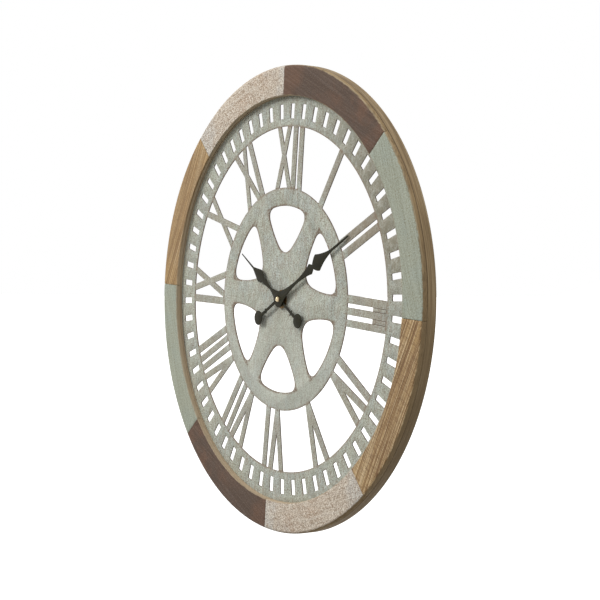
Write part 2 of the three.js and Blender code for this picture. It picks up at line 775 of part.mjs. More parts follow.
function motionWork() {
  const tubeWall = tube(hourTubeRadius, hourTubeBore, hourTubeFrontY, hourLayer[1], 16);
  const hourBore = cylinder(hourTubeBore, hourLayer[0] - 1, hourLayer[1] + 1, 16);
  const hourDisc = wheel(hourWheelTeeth, hourMesh.wheel, motionBearing, hourLayer);
  piece("hour_wheel", joined([hourDisc, tubeWall], [hourBore]), finish.gearWhite);

  const arborBackEnd = centreLayer[1] + seat;
  const stud = prism(flattened(THREE.Shape, minuteArborRadius, minuteArborFlats), minuteArborFrontY, 0, 4);
  stud.rotateY(degrees(minuteHandAngle - 90));
  const rod = cylinder(minuteArborRadius, minuteShoulderY, arborBackEnd, 16);
  const leaves = pinion(minutePinionTeeth, minuteMesh.pinion, motionBearing, motionWheelLayer);
  const pivot = cylinder(arborRadius + running, centreLayer[0], arborBackEnd + 1, 10);
  piece("minute_arbor", joined([rod, stud, leaves], [pivot]), finish.steel);

  const inward = motionBearing + 180;
  const leafLayer = [hourLayer[0], motionWheelLayer[0]];
  const motionDisc = wheel(motionWheelTeeth, minuteMesh.wheel, inward, motionWheelLayer, motionAxis);
  const motionLeaves = pinion(motionPinionTeeth, hourMesh.pinion, inward, leafLayer, motionAxis);
  const spindle = cylinder(settingArborRadius, cavityFrontY + seat, knobBackY - seat, 12, motionAxis);
  piece("motion_wheel", joined([motionDisc, motionLeaves, spindle]), finish.gearWhite);
  piece("setting_knob", settingKnob(), finish.gearWhite);
}

function settingKnob() {
  const ribbed = [];
  for (let i = 0; i < knobRibs; i += 1) {
    const step = 360 / knobRibs;
    ribbed.push(polar(knobRadius * 0.92, step * (i - 0.3), motionAxis));
    ribbed.push(polar(knobRadius, step * (i - 0.18), motionAxis));
    ribbed.push(polar(knobRadius, step * (i + 0.18), motionAxis));
    ribbed.push(polar(knobRadius * 0.92, step * (i + 0.3), motionAxis));
  }
  const blank = prism(polygon(ribbed), knobFrontY, knobBackY);
  const bore = cylinder(settingArborRadius + running, knobFrontY - 1, knobBackY + 1, 12, motionAxis);
  return joined([blank], [bore]);
}

function arborWithWheels(at, frontY, backY, wheels) {
  return joined([cylinder(arborRadius, frontY, backY, 8, at), ...wheels]);
}

function goingTrain() {
  const plateMiddle = (plateLayer[0] + plateLayer[1]) / 2;
  const towardsCentre = (bearing) => bearing + 180;
  const centreDisc = wheel(centreWheelTeeth, centreMesh.wheel, thirdBearing, centreLayer);
  const centreBore = cylinder(minuteArborRadius + running, centreLayer[0] - 1, centreLayer[1] + 1, 16);
  piece("centre_wheel", joined([centreDisc], [centreBore]), finish.brass);

  const third = arborWithWheels(thirdAxis, plateMiddle, arborBackY, [
    pinion(trainPinionTeeth, centreMesh.pinion, towardsCentre(thirdBearing), centreLayer, thirdAxis),
    wheel(thirdWheelTeeth, thirdMesh.wheel, towardsCentre(thirdBearing), thirdLayer, thirdAxis),
  ]);
  piece("third_wheel", third, finish.gearYellow);

  const second = arborWithWheels(centre, centreLayer[0] + seat, arborBackY, [
    pinion(trainPinionTeeth, thirdMesh.pinion, thirdBearing, thirdLayer),
    wheel(secondWheelTeeth, secondMesh.wheel, stepBearing, secondLayer),
  ]);
  piece("second_wheel", second, finish.gearWhite);

  const step = arborWithWheels(stepAxis, plateMiddle, arborBackY, [
    pinion(trainPinionTeeth, secondMesh.pinion, towardsCentre(stepBearing), secondLayer, stepAxis),
    wheel(stepWheelTeeth, stepMesh.wheel, rotorBearing, stepLayer, stepAxis),
  ]);
  piece("step_wheel", step, finish.gearYellow);

  const rotor = arborWithWheels(rotorAxis, plateMiddle, arborBackY, [
    pinion(trainPinionTeeth, stepMesh.pinion, towardsCentre(rotorBearing), stepLayer, rotorAxis),
  ]);
  piece("rotor_pinion", rotor, finish.gearWhite);
  const magnet = tube(magnetRadius, arborRadius + running, ...magnetLayer, 12, rotorAxis);
  piece("rotor_magnet", magnet, finish.magnet);
}

// Movement case, with the bushing through the dial in front and the cell's bay open at the back
const cornerPosts = [
  [-cavityHalf + postInset, cavityHalf - postInset],
  [cavityHalf - postInset, cavityHalf - postInset],
  [-cavityHalf + postInset, cavityBottom + postRadius + seat],
  [cavityHalf - postInset, cavityBottom + postRadius + seat],
];
const plateSpan = { x: [-25.4, 16.6], z: [cavityBottom + seat, 14.8] };
const platePosts = [
  [plateSpan.x[0] + 3 * postRadius, plateSpan.z[1] - 2 * postRadius],
  [plateSpan.x[1] - 3 * postRadius, plateSpan.z[1] - 2 * postRadius],
  [plateSpan.x[0] + 3 * postRadius, plateSpan.z[0] + 2 * postRadius],
  [plateSpan.x[1] - 3 * postRadius, plateSpan.z[0] + 2 * postRadius],
];
const boardSpan = {
  x: [coilX + coreWidth / 2 - boardWidth, coilX + coreWidth / 2],
  z: [cavityHalf - seat - 2 * contactThickness - boardHeight, cavityHalf - seat - 2 * contactThickness],
};
const boardMiddleZ = boardSpan.z[0] + boardHeight / 2;
const boardPosts = [
  [boardSpan.x[0] + 2 * postRadius, boardMiddleZ],
  [boardSpan.x[1] - 2 * postRadius, boardMiddleZ],
];
const coreEnds = [coilLow - bobbinWall - coreWidth, coilHigh + bobbinWall + coreWidth];
const coreRests = [coreEnds[0] + coreWidth / 2, coreEnds[1] - coreWidth / 2].map((z) => [coilX, z]);

function caseFront() {
  const square = roundedRectangle([-caseHalf, caseHalf], [-caseHalf, caseHalf], caseCorner);
  const shell = prism(square, caseFrontY, caseBackY, 4);
  const bushing = cylinder(bushingRadius, bushingFrontY, cavityFrontY, bushingFacets);
  const room = box([-cavityHalf, cavityHalf], [cavityFrontY, caseBackY + 1], [cavityBottom, cavityHalf]);
  const bay = box([-cavityHalf, cavityHalf], [bayFrontY, caseBackY + 1], [-cavityHalf, bayTop]);
  const notchDepth = 3 * contactThickness;
  const notches = [-1, 1].map((side) =>
    box(
      side < 0 ? [-cavityHalf, -cavityHalf + notchDepth] : [cavityHalf - notchDepth, cavityHalf],
      [cellY - contactWidth / 2 - seat, caseBackY + 1],
      [bayTop - 1, cavityBottom + 1],
    ),
  );
  const bore = cylinder(bushingBore, bushingFrontY - 1, cavityFrontY + 1, 16);
  const post = (at, backY) => cylinder(postRadius, cavityFrontY - 0.5, backY, 6, at);
  const posts = [
    ...cornerPosts.map((at) => post(at, coverFrontY - seat)),
    ...platePosts.map((at) => post(at, plateLayer[0] - seat)),
    ...boardPosts.map((at) => post(at, statorLayer[0] - seat)),
    ...coreRests.map((at) => post(at, coreLayer[0] - seat)),
  ];
  const hollow = joined([shell], [room, bay, ...notches]);
  return joined([hollow, bushing, ...posts], [bore]);
}

function middlePlate() {
  const outline = roundedRectangle(plateSpan.x, plateSpan.z, 2);
  const holes = [
    [centre, minuteArborRadius],
    [motionAxis, settingArborRadius],
    [thirdAxis, arborRadius],
    [stepAxis, arborRadius],
    [rotorAxis, arborRadius],
  ];
  const through = [plateLayer[0] - 1, plateLayer[1] + 1];
  const cuts = holes.map(([at, radius]) => cylinder(radius + running, ...through, 10, at));
  const cornerCuts = cornerPosts.map((at) => cylinder(postRadius + 2 * seat, ...through, 6, at));
  return joined([prism(outline, ...plateLayer, 3)], [...cuts, ...cornerCuts]);
}

function backCover() {
  const half = cavityHalf - coverClearance;
  const corner = caseCorner / 4;
  const outline = roundedRectangle([-half, half], [cavityBottom + coverClearance, half], corner);
  const wellRadius = knobRadius + wellClearance;
  const wellFloor = knobFrontY - seat;
  const wellOutside = wellRadius + coverThickness;
  const well = cylinder(wellOutside, wellFloor - coverThickness, coverFrontY, 12, motionAxis);
  const room = cylinder(wellRadius, wellFloor, caseBackY + 1, 12, motionAxis);
  const holeFrontY = wellFloor - coverThickness - 1;
  const spindleHole = cylinder(settingArborRadius + running, holeFrontY, caseBackY, 12, motionAxis);
  const bearings = [centre, thirdAxis, stepAxis, rotorAxis].map((at) =>
    cylinder(arborRadius + running, coverFrontY - 1, arborBackY + seat, 8, at),
  );
  const plate = prism(outline, coverFrontY, caseBackY, 3);
  return joined([plate, well], [room, spindleHole, ...bearings]);
}

function motor() {
  const [rotorX, rotorZ] = rotorAxis;
  const hole = magnetRadius + statorHoleClearance;
  const ring = hole + 1.6;
  const upperZ = [coreEnds[1] - coreWidth, coreEnds[1]];
  const lowerZ = [coreEnds[0], coreEnds[0] + coreWidth];
  const armRight = coilX + coreWidth / 2;
  const legClear = stepAxis[0] + arborRadius + 1;
  const stator = joined(
    [
      cylinder(ring, ...statorLayer, 20, rotorAxis),
      box([rotorX - 2.5, rotorX + 2.5], statorLayer, [rotorZ + hole, upperZ[1]]),
      box([rotorX - 2.5, armRight], statorLayer, upperZ),
      box([legClear, legClear + 3.2], statorLayer, [lowerZ[0], rotorZ - 2]),
      box([legClear, armRight], statorLayer, lowerZ),
    ],
    [cylinder(hole, statorLayer[0] - 1, statorLayer[1] + 1, 20, rotorAxis)],
  );
  piece("stator", stator, finish.steel);
  const core = box([coilX - coreWidth / 2, coilX + coreWidth / 2], coreLayer, coreEnds);
  piece("coil_core", core, finish.steel);
  const alongZ = (geometry) => geometry.rotateX(Math.PI / 2).translate(coilX, coilY, 0);
  const tubeRadius = coreWidth / 2 + bobbinWall;
  const spool = alongZ(
    turned(
      [
        [0, coilLow],
        [bobbinFlange, coilLow],
        [bobbinFlange, coilLow + bobbinWall],
        [tubeRadius, coilLow + bobbinWall],
        [tubeRadius, coilHigh - bobbinWall],
        [bobbinFlange, coilHigh - bobbinWall],
        [bobbinFlange, coilHigh],
        [0, coilHigh],
      ],
      12,
    ),
  );
  const passage = box(
    [coilX - coreWidth / 2 - seat, coilX + coreWidth / 2 + seat],
    [coreLayer[0] - seat, coreLayer[1] + seat],
    [coilLow - 1, coilHigh + 1],
  );
  piece("coil_bobbin", joined([spool], [passage]), finish.bobbin);
  const windingSpan = [coilLow + bobbinWall + seat, coilHigh - bobbinWall - seat];
  const winding = tube(coilRadius, tubeRadius + seat, ...windingSpan, 12);
  piece("coil_winding", alongZ(winding), finish.copper);
}

function electronics() {
  const boardLayer = [statorLayer[0], statorLayer[0] + boardThickness];
  piece("circuit_board", box(boardSpan.x, boardLayer, boardSpan.z), finish.board);
  const onBoard = boardLayer[1] + seat;
  const chipX = boardSpan.x[0] + chipInset;
  const chipHalf = chipSide / 2;
  const chip = box(
    [chipX - chipHalf, chipX + chipHalf],
    [onBoard, onBoard + chipHeight],
    [boardMiddleZ - chipHalf, boardMiddleZ + chipHalf],
  );
  piece("clock_chip", chip, finish.chip);
  const can = cylinder(crystalRadius, 0, crystalLength, 10);
  can.rotateZ(-Math.PI / 2);
  can.translate(chipX + chipSide, onBoard + crystalRadius, boardMiddleZ);
  piece("quartz_crystal", can, finish.steel);
}

// Each contact is a strip folded from the end of the cell up to the back of the circuit board
function contacts() {
  const y = [cellY - contactWidth / 2, cellY + contactWidth / 2];
  const boardBack = statorLayer[0] + boardThickness + seat;
  const tabY = [boardBack, boardBack + contactThickness];
  const low = cellZ - contactWidth / 2;
  const high = cellZ + contactWidth / 2;
  const topZ = [boardSpan.z[1] + seat, boardSpan.z[1] + seat + contactThickness];
  const tabZ = [topZ[0] - contactTab, topZ[1]];
  const strip = (wallX, tabX) => [
    box([Math.min(...wallX), Math.max(...wallX)], y, [low, topZ[1]]),
    box([Math.min(...wallX, ...tabX), Math.max(...wallX, ...tabX)], [y[0], tabY[1]], topZ),
    box(tabX, tabY, tabZ),
  ];
  const right = boardSpan.x[1] - 1;
  const positive = strip([contactX - contactThickness, contactX], [right - contactTab, right]);
  piece("contact_positive", joined(positive), finish.steel);
  const left = boardSpan.x[0] + 1;
  const springX = cellStart - seat;
  const leaf = polygon([
    [-contactX, low + contactThickness],
    [-contactX, low],
    [springX, cellZ],
    [-contactX, high],
    [-contactX, high - contactThickness],
    [springX - contactThickness, cellZ],
  ]);
  const negative = strip([-contactX, contactThickness - contactX], [left, left + contactTab]);
  piece("contact_negative", joined([...negative, prism(leaf, ...y)]), finish.steel);
}

function cell() {
  const ease = 0.6;
  const geometry = turned(
    [
      [0, cellStart],
      [cellRadius - ease, cellStart],
      [cellRadius, cellStart + ease],
      [cellRadius, cellEnd - ease],
      [cellRadius - ease, cellEnd],
      [nubRadius, cellEnd],
      [nubRadius, nubEnd],
      [0, nubEnd],
    ],
    14,
  );
  piece("battery", geometry.rotateZ(-Math.PI / 2).translate(0, cellY, cellZ), finish.cell);
}

// Hanger and wall pads
function keyholeOutline(allowance) {
  const head = keyholeHead + allowance;
  const neck = keyholeNeck + allowance;
  const meets = Math.asin(neck / head);
  const shape = new THREE.Path();
  shape.absarc(0, hangerRadius - keyholeTravel, head, Math.PI / 2 + meets, 2.5 * Math.PI - meets);
  shape.absarc(0, hangerRadius, neck, 0, Math.PI);
  shape.closePath();
  return allowance ? new THREE.Shape(shape.getPoints(3)) : shape;
}

function hangerScrewPlaces() {
  const across = hangerWidth / 2 - hangerScrewInset;
  return [-across, across].map((x) => [x, hangerRadius - keyholeTravel / 2]);
}

function back() {
  const middle = hangerRadius - keyholeTravel / 2;
  const outline = roundedRectangle(
    [-hangerWidth / 2, hangerWidth / 2],
    [middle - hangerHeight / 2, middle + hangerHeight / 2],
    3,
  );
  outline.holes.push(keyholeOutline(0));
  const screwHole = hangerScrewShank + screwClearance;
  for (const [x, z] of hangerScrewPlaces()) {
    outline.holes.push(new THREE.Path().absarc(x, z, screwHole, 0, 2 * Math.PI, true));
  }
  const plateBackY = rimBackY + seat + hangerThickness;
  piece("hanger_plate", prism(outline, rimBackY + seat, plateBackY, 3), finish.steel);
  hangerScrewPlaces().forEach((at, i) => {
    const headY = plateBackY + seat + screwHeadHeight;
    const geometry = screw(hangerScrewHead, hangerScrewShank, headY, headY - hangerScrewLength, at);
    piece(`hanger_screw_${i + 1}`, geometry, finish.steel);
  });
  const padNames = ["upper_right", "upper_left", "lower_left", "lower_right"];
  padNames.forEach((name, i) => {
    const at = polar(padCentreRadius, 45 + 90 * i);
    const profile = [
      [0, rimBackY + seat],
      [padRadius, rimBackY + seat],
      [padRadius - 1, wallY],
      [0, wallY],
    ];
    piece(`wall_pad_${name}`, turned(profile, 12, at), finish.rubber);
  });
}

rim();
dial();
hands();
shaftFasteners();
piece("case_front", caseFront(), finish.caseBlack);
piece("middle_plate", middlePlate(), finish.gearWhite);
motionWork();
goingTrain();
motor();
electronics();
contacts();
cell();
piece("back_cover", backCover(), finish.caseBlack);
back();

// The origin is where the hanging screw's axis meets the wall, at the top of the keyhole
clock.position.set(0, -wallY, -hangerRadius);

export default clock;
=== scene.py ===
"""Gear wall clock: a pierced metal dial in a rim of eight painted planks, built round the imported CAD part."""

import contextlib
import json
import math
from types import SimpleNamespace

import bmesh
import bpy
from bpy.props import FloatProperty, FloatVectorProperty, PointerProperty
from bpy.types import Operator, Panel, PropertyGroup
from mathutils import Matrix, Vector

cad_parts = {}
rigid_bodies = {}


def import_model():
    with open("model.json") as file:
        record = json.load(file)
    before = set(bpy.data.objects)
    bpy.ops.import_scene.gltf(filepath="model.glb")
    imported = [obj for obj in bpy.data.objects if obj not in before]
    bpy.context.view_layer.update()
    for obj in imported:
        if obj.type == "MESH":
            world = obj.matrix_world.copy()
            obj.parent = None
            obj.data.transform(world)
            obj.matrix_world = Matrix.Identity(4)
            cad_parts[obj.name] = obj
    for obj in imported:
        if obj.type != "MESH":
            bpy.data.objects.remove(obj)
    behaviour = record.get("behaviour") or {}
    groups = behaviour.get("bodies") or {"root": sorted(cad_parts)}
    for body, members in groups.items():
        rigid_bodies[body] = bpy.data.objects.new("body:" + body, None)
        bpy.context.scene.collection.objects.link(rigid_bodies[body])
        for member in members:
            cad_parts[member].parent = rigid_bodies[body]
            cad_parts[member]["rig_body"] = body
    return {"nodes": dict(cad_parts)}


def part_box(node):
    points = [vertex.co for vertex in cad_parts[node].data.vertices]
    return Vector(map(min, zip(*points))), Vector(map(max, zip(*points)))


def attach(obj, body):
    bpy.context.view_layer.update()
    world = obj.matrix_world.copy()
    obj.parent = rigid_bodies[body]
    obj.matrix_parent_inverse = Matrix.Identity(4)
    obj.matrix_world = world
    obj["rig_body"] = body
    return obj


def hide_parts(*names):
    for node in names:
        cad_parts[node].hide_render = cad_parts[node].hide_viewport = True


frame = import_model()

bl_info = {
    "name": "Gear Wall Clock",
    "version": (1, 0, 0),
    "blender": (4, 5, 0),
    "location": "3D View > Sidebar > Wall Clock",
    "description": "Builds the rim, dial, hands, movement and back of a gear wall clock",
    "category": "Add Mesh",
}

MM = 0.001
TURN = 2 * math.pi
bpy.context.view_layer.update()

# The pieces are shaped round the hands' axis, with y = 0 at the dial's front face
DIAL_LOW, DIAL_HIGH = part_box("dial")
DIAL_FRONT = DIAL_LOW.y
AXIS_HEIGHT = (DIAL_LOW.z + DIAL_HIGH.z) / 2
DIAL_RADIUS = (DIAL_HIGH.x - DIAL_LOW.x) / 2
RIM_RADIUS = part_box("rim_base")[1].x
TO_AXIS = (0, -DIAL_FRONT, -AXIS_HEIGHT)


def depths(node):
    """How far behind the dial's front a node starts and ends."""
    low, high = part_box(node)
    return low.y - DIAL_FRONT, high.y - DIAL_FRONT


def half_width(node):
    low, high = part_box(node)
    return (high.x - low.x) / 2


def middle_of(node):
    """A node's middle as it is seen from the front, from the hands' axis."""
    low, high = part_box(node)
    return (low.x + high.x) / 2, 0, (low.z + high.z) / 2 - AXIS_HEIGHT


def on_circle(radius, bearing):
    """A place on a circle round the hands' axis, across and up, at a bearing clockwise from twelve."""
    return radius * math.sin(bearing), radius * math.cos(bearing)


def srgb(red, green, blue):
    """A colour given as it looks on screen, 0 to 255, turned into the renderer's linear values."""
    linear = []
    for value in (red, green, blue):
        share = value / 255
        linear.append(share / 12.92 if share <= 0.04045 else ((share + 0.055) / 1.055) ** 2.4)
    return tuple(linear)


def shade(colour, brightness):
    return tuple(channel * brightness for channel in colour)


def tint(name, description, *seen):
    """A colour setting, whose default is given as it looks on screen."""
    return FloatVectorProperty(
        name=name, description=description, subtype="COLOR", size=3, min=0, max=1, default=srgb(*seen)
    )


def length(name, description, metres):
    return FloatProperty(
        name=name, description=description, default=metres, min=0, unit="LENGTH", subtype="DISTANCE"
    )


def amount(name, description, default):
    return FloatProperty(name=name, description=description, default=default, min=0)


def angle(name, description, degrees):
    return FloatProperty(name=name, description=description, default=math.radians(degrees), subtype="ANGLE")


class RimSettings(PropertyGroup):
    inner_radius: length("Inner radius", "Radius of the opening that the dial shows through", 0.261)
    edge_round: length("Edge round", "Rounding of the planks' outer front edge", 0.0042)
    worn_width: length("Worn width", "Width of the bare strip along the planks' outer edge", 0.0026)
    joint_gap: length("Joint gap", "Gap between two planks", 0.0003)
    rise: length("Plank rise", "How far the planks' faces stand ahead of their plain solids", 0.002)
    dark: tint("Dark brown", "Paint of the first and fifth plank", 94, 76, 64)
    sage: tint("Sage", "Paint of the second and sixth plank", 173, 177, 159)
    natural: tint("Natural", "Bare wood of the third and seventh plank", 180, 148, 104)
    whitewash: tint("Whitewash", "Paint of the fourth and eighth plank", 218, 203, 183)
    bare: tint("Bare wood", "Wood that shows where paint has worn off", 178, 158, 126)
    base: tint("Base wood", "Wood of the ring behind the planks", 162, 137, 100)
    # Painted light: the inner wall's tone is a lighter copy of the base wood, standing in for the light that
    # falls on it
    inner: tint("Inner wall", "Wood of the rim's inner wall", 184, 164, 136)


class DialSettings(PropertyGroup):
    slot_radius: length("Slot circle", "Radius of the circle through the minute slots' middles", 0.242)
    slot_length: length("Slot length", "Length of a minute slot", 0.019)
    slot_width: length("Slot width", "Width of a minute slot", 0.0077)
    band_outer: length("Numeral band, outer", "Radius where the numerals meet the minute ring", 0.2225)
    band_inner: length("Numeral band, inner", "Radius of the gear ring's outer edge", 0.144)
    pale: tint("Sheet", "The dial's pale grey-green", 186, 191, 175)
    cool: tint("Cool patches", "Blue-grey patches in the sheet's finish", 178, 186, 178)
    stain: tint("Stain", "Brown stains in the sheet's finish", 150, 131, 111)
    rust: tint("Cut edge", "Rusty brown of the cut edges", 88, 70, 56)


class HandSettings(PropertyGroup):
    minute_bearing: angle("Minute hand", "Bearing of the minute hand, clockwise from twelve", 57.0)
    hour_bearing: angle("Hour hand", "Bearing of the hour hand, clockwise from twelve", 298.0)
    lacquer: tint("Lacquer", "The hands' black lacquer", 30, 28, 15)


class MetalSettings(PropertyGroup):
    brass: tint("Brass", "Cap nut of the minute hand", 206, 188, 154)
    aged_brass: tint("Aged brass", "Nut and washer behind the hands", 112, 90, 58)
    steel: tint("Steel", "Screws, hanger and contacts", 186, 188, 190)
    copper: tint("Copper", "Coil wire", 196, 110, 62)


class MovementSettings(PropertyGroup):
    case: tint("Case", "Moulded case of the movement", 36, 37, 39)
    white_gear: tint("White gears", "Moulded wheels of the motion work", 226, 224, 214)
    yellow_gear: tint("Yellow gears", "Moulded wheels of the going train", 214, 192, 122)
    board: tint("Board", "Circuit board", 40, 98, 56)
    wrapper: tint("Cell wrapper", "Wrapper of the AA cell", 52, 60, 72)
    rubber: tint("Rubber", "Gasket and wall pads", 40, 40, 42)


class StudioSettings(PropertyGroup):
    floor_drop: length("Floor drop", "Distance of the floor below the hanging point", 1.7)
    key_power: amount("Key light", "Power of the soft key light in watts", 54.0)
    fill_power: amount("Fill light", "Power of each of the two fill lights in watts", 9.0)
    ambient: amount("Ambient", "Strength of the world's light on surfaces", 0.54)


SETTINGS = {
    "clock_rim": RimSettings,
    "clock_dial": DialSettings,
    "clock_hands": HandSettings,
    "clock_metal": MetalSettings,
    "clock_movement": MovementSettings,
    "clock_studio": StudioSettings,
}


# Shaping by hand


def deselect_all():
    active = bpy.context.view_layer.objects.active
    if active is not None and active.mode != "OBJECT":
        bpy.ops.object.mode_set(mode="OBJECT")
    bpy.ops.object.select_all(action="DESELECT")


def activate(piece):
    deselect_all()
    piece.select_set(True)
    bpy.context.view_layer.objects.active = piece


def newest(name):
    """The object that the last operator added, under its own name."""
    piece = bpy.context.view_layer.objects.active
    piece.name = name
    piece.data.name = name
    return piece


def select_all():
    bpy.ops.mesh.select_all(action="SELECT")


@contextlib.contextmanager
def editing(piece, mode="VERT"):
    """Edit mode, with everything selected to begin with."""
    activate(piece)
    bpy.ops.object.mode_set(mode="EDIT")
    bpy.ops.mesh.select_mode(type=mode)
    select_all()
    yield
    bpy.ops.object.mode_set(mode="OBJECT")


def choose(piece, kind, test):
    """Selects the vertices, edges or faces that pass the test, and nothing else."""
    bpy.ops.mesh.select_all(action="DESELECT")
    mesh = bmesh.from_edit_mesh(piece.data)
    mesh.normal_update()
    for part in getattr(mesh, kind):
        if test(part):
            part.select_set(True)
    mesh.select_flush_mode()
    bmesh.update_edit_mesh(piece.data)


def face_outwards():
    select_all()
    bpy.ops.mesh.normals_make_consistent(inside=False)


def extrude(step):
    bpy.ops.mesh.extrude_region_move(TRANSFORM_OT_translate={"value": tuple(step)})


def flat(across, along, depth=0.0):
    """A place on a flat face: across and along it, at a depth behind the dial's front."""
    return Vector((across, depth, along))


def outline(name, places):
    """A closed loop of edges, drawn by extruding one corner of a plane from place to place."""
    deselect_all()
    bpy.ops.mesh.primitive_plane_add(size=MM)
    piece = newest(name)
    with editing(piece):
        choose(piece, "verts", lambda v: v.index != 0)
        bpy.ops.mesh.delete(type="VERT")
        select_all()
        corner = bmesh.from_edit_mesh(piece.data).verts[:][0].co
        bpy.ops.transform.translate(value=tuple(places[0] - corner))
        for here, there in zip(places, places[1:]):
            extrude(there - here)
        last = len(places) - 1
        choose(piece, "verts", lambda v: v.index in (0, last))
        bpy.ops.mesh.edge_face_add()
    return piece


def plate(name, places, depth):
    """A flat outline, filled and extruded backwards."""
    piece = outline(name, places)
    with editing(piece):
        bpy.ops.mesh.edge_face_add()
    with editing(piece, "FACE"):
        extrude((0, depth, 0))
        face_outwards()
    return piece


def turned(name, profile, steps, sweep=TURN):
    """A profile of radii and depths, spun round the hands' axis, clockwise as the dial is read."""
    piece = outline(name, [flat(radius, 0, depth) for radius, depth in profile])
    with editing(piece):
        bpy.ops.mesh.spin(
            steps=steps, angle=sweep, center=(0, 0, 0), axis=(0, -1, 0), use_auto_merge=True
        )
        select_all()
        bpy.ops.mesh.remove_doubles(threshold=1e-6)
        bpy.ops.mesh.dissolve_degenerate(threshold=1e-6)
        select_all()
        bpy.ops.mesh.delete_loose(use_verts=True, use_edges=True, use_faces=False)
        face_outwards()
    return piece


def rounded(profile, corners, steps):
    """A profile with the corners of the given numbers rounded by a radius."""
    smooth = []
    for number, (x, y) in enumerate(profile):
        radius = corners.get(number, 0)
        if not radius:
            smooth.append((x, y))
            continue
        here = Vector((x, y))
        before = (Vector(profile[number - 1]) - here).normalized()
        after = (Vector(profile[(number + 1) % len(profile)]) - here).normalized()
        half = before.angle(after) / 2
        start = here + before * radius / math.tan(half)
        end = here + after * radius / math.tan(half)
        middle = here + (before + after).normalized() * radius / math.sin(half)
        sweep = (start - middle).angle_signed(end - middle)
        for step in range(steps + 1):
            arm = (start - middle).copy()
            arm.rotate(Matrix.Rotation(-sweep * step / steps, 2))
            smooth.append(tuple(middle + arm))
    return smooth


def cut(piece, cutter, operation="DIFFERENCE"):
    """Cuts one piece with another, which is then gone."""
    activate(piece)
    modifier = piece.modifiers.new("Cut", "BOOLEAN")
    modifier.operation = operation
    modifier.solver = "EXACT"
    modifier.object = cutter
    bpy.ops.object.modifier_apply(modifier=modifier.name)
    bpy.data.objects.remove(cutter)


def bevel(piece, width, sharpest, clamp=True):
    """Softens the edges that turn by more than an angle in degrees."""
    activate(piece)
    modifier = piece.modifiers.new("Bevel", "BEVEL")
    modifier.width = width
    modifier.segments = 2
    modifier.limit_method = "ANGLE"
    modifier.angle_limit = math.radians(sharpest)
    modifier.use_clamp_overlap = clamp
    bpy.ops.object.modifier_apply(modifier=modifier.name)


def cylinder(name, radius, front, back, places=((0, 0),), vertices=32):
    """One object with a cylinder along the depth at each place."""
    deselect_all()
    parts = []
    for across, along in places:
        bpy.ops.mesh.primitive_cylinder_add(
            vertices=vertices, radius=radius, depth=back - front,
            location=(across, (front + back) / 2, along), rotation=(math.pi / 2, 0, 0),
        )
        parts.append(newest(name))
    return joined(parts)


def block(name, low, high, bearing=0.0):
    """A box between two corners, turned clockwise about the hands' axis."""
    deselect_all()
    low, high = Vector(low), Vector(high)
    bpy.ops.mesh.primitive_cube_add(size=1, location=(low + high) / 2, scale=high - low)
    piece = newest(name)
    bpy.ops.object.transform_apply()
    return twisted(piece, bearing) if bearing else piece


def joined(parts):
    """One object made of several that don't touch."""
    deselect_all()
    for part in parts:
        part.select_set(True)
    bpy.context.view_layer.objects.active = parts[0]
    if len(parts) > 1:
        bpy.ops.object.join()
    bpy.ops.object.transform_apply()
    return parts[0]


def twisted(piece, bearing):
    """The piece, turned clockwise about the hands' axis."""
    activate(piece)
    piece.rotation_euler = (0, bearing, 0)
    bpy.ops.object.transform_apply()
    return piece


def copied(piece, name, bearing=0.0, place=(0, 0, 0)):
    """A copy with its own mesh, turned clockwise about the hands' axis and then moved."""
    activate(piece)
    bpy.ops.object.duplicate(linked=False)
    twin = newest(name)
    twin.location = place
    return twisted(twin, bearing)


def paint(piece, *finishes):
    piece.data.materials.clear()
    for finish in finishes:
        piece.data.materials.append(MATERIALS[finish])


def tie(piece, node, body, smooth):
    """Smooths a finished piece, lets it ride on its body and stand for its node."""
    activate(piece)
    bpy.ops.object.shade_smooth_by_angle(angle=math.radians(smooth))
    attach(piece, body)
    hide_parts(node)


def settle(piece, node, slot, finish=None, body="clock", smooth=35.0):
    """Moves a finished piece from the hands' axis to its place in the clock, paints it and ties it."""
    activate(piece)
    piece.location = (0, DIAL_FRONT, AXIS_HEIGHT)
    bpy.ops.object.transform_apply()
    if not piece.data.materials:
        paint(piece, finish or slot)
    tie(piece, node, body, smooth)


def refined(node, width, slot):
    """A copy of a CAD node with merged faces and softened edges, which then stands for it."""
    source = frame["nodes"][node]
    activate(source)
    bpy.ops.object.duplicate(linked=False)
    piece = newest(f"{node}_finished")
    for key in list(piece.keys()):
        del piece[key]
    piece.parent = None
    piece.matrix_world = Matrix.Identity(4)
    with editing(piece):
        bpy.ops.mesh.remove_doubles(threshold=1e-6)
        bpy.ops.mesh.tris_convert_to_quads(face_threshold=math.radians(1), shape_threshold=math.radians(60))
    bevel(piece, width, 38)
    paint(piece, slot)
    tie(piece, node, source["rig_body"], 38.0)


# Node trees


def reckoning(operation, swapped=False):
    """How a wire takes part in one kind of sum, as the second number if they are swapped."""

    def reckon(wire, other=0.0):
        first, second = (other, wire) if swapped else (wire, other)
        return wire.graph.math(operation, first, second)

    return reckon


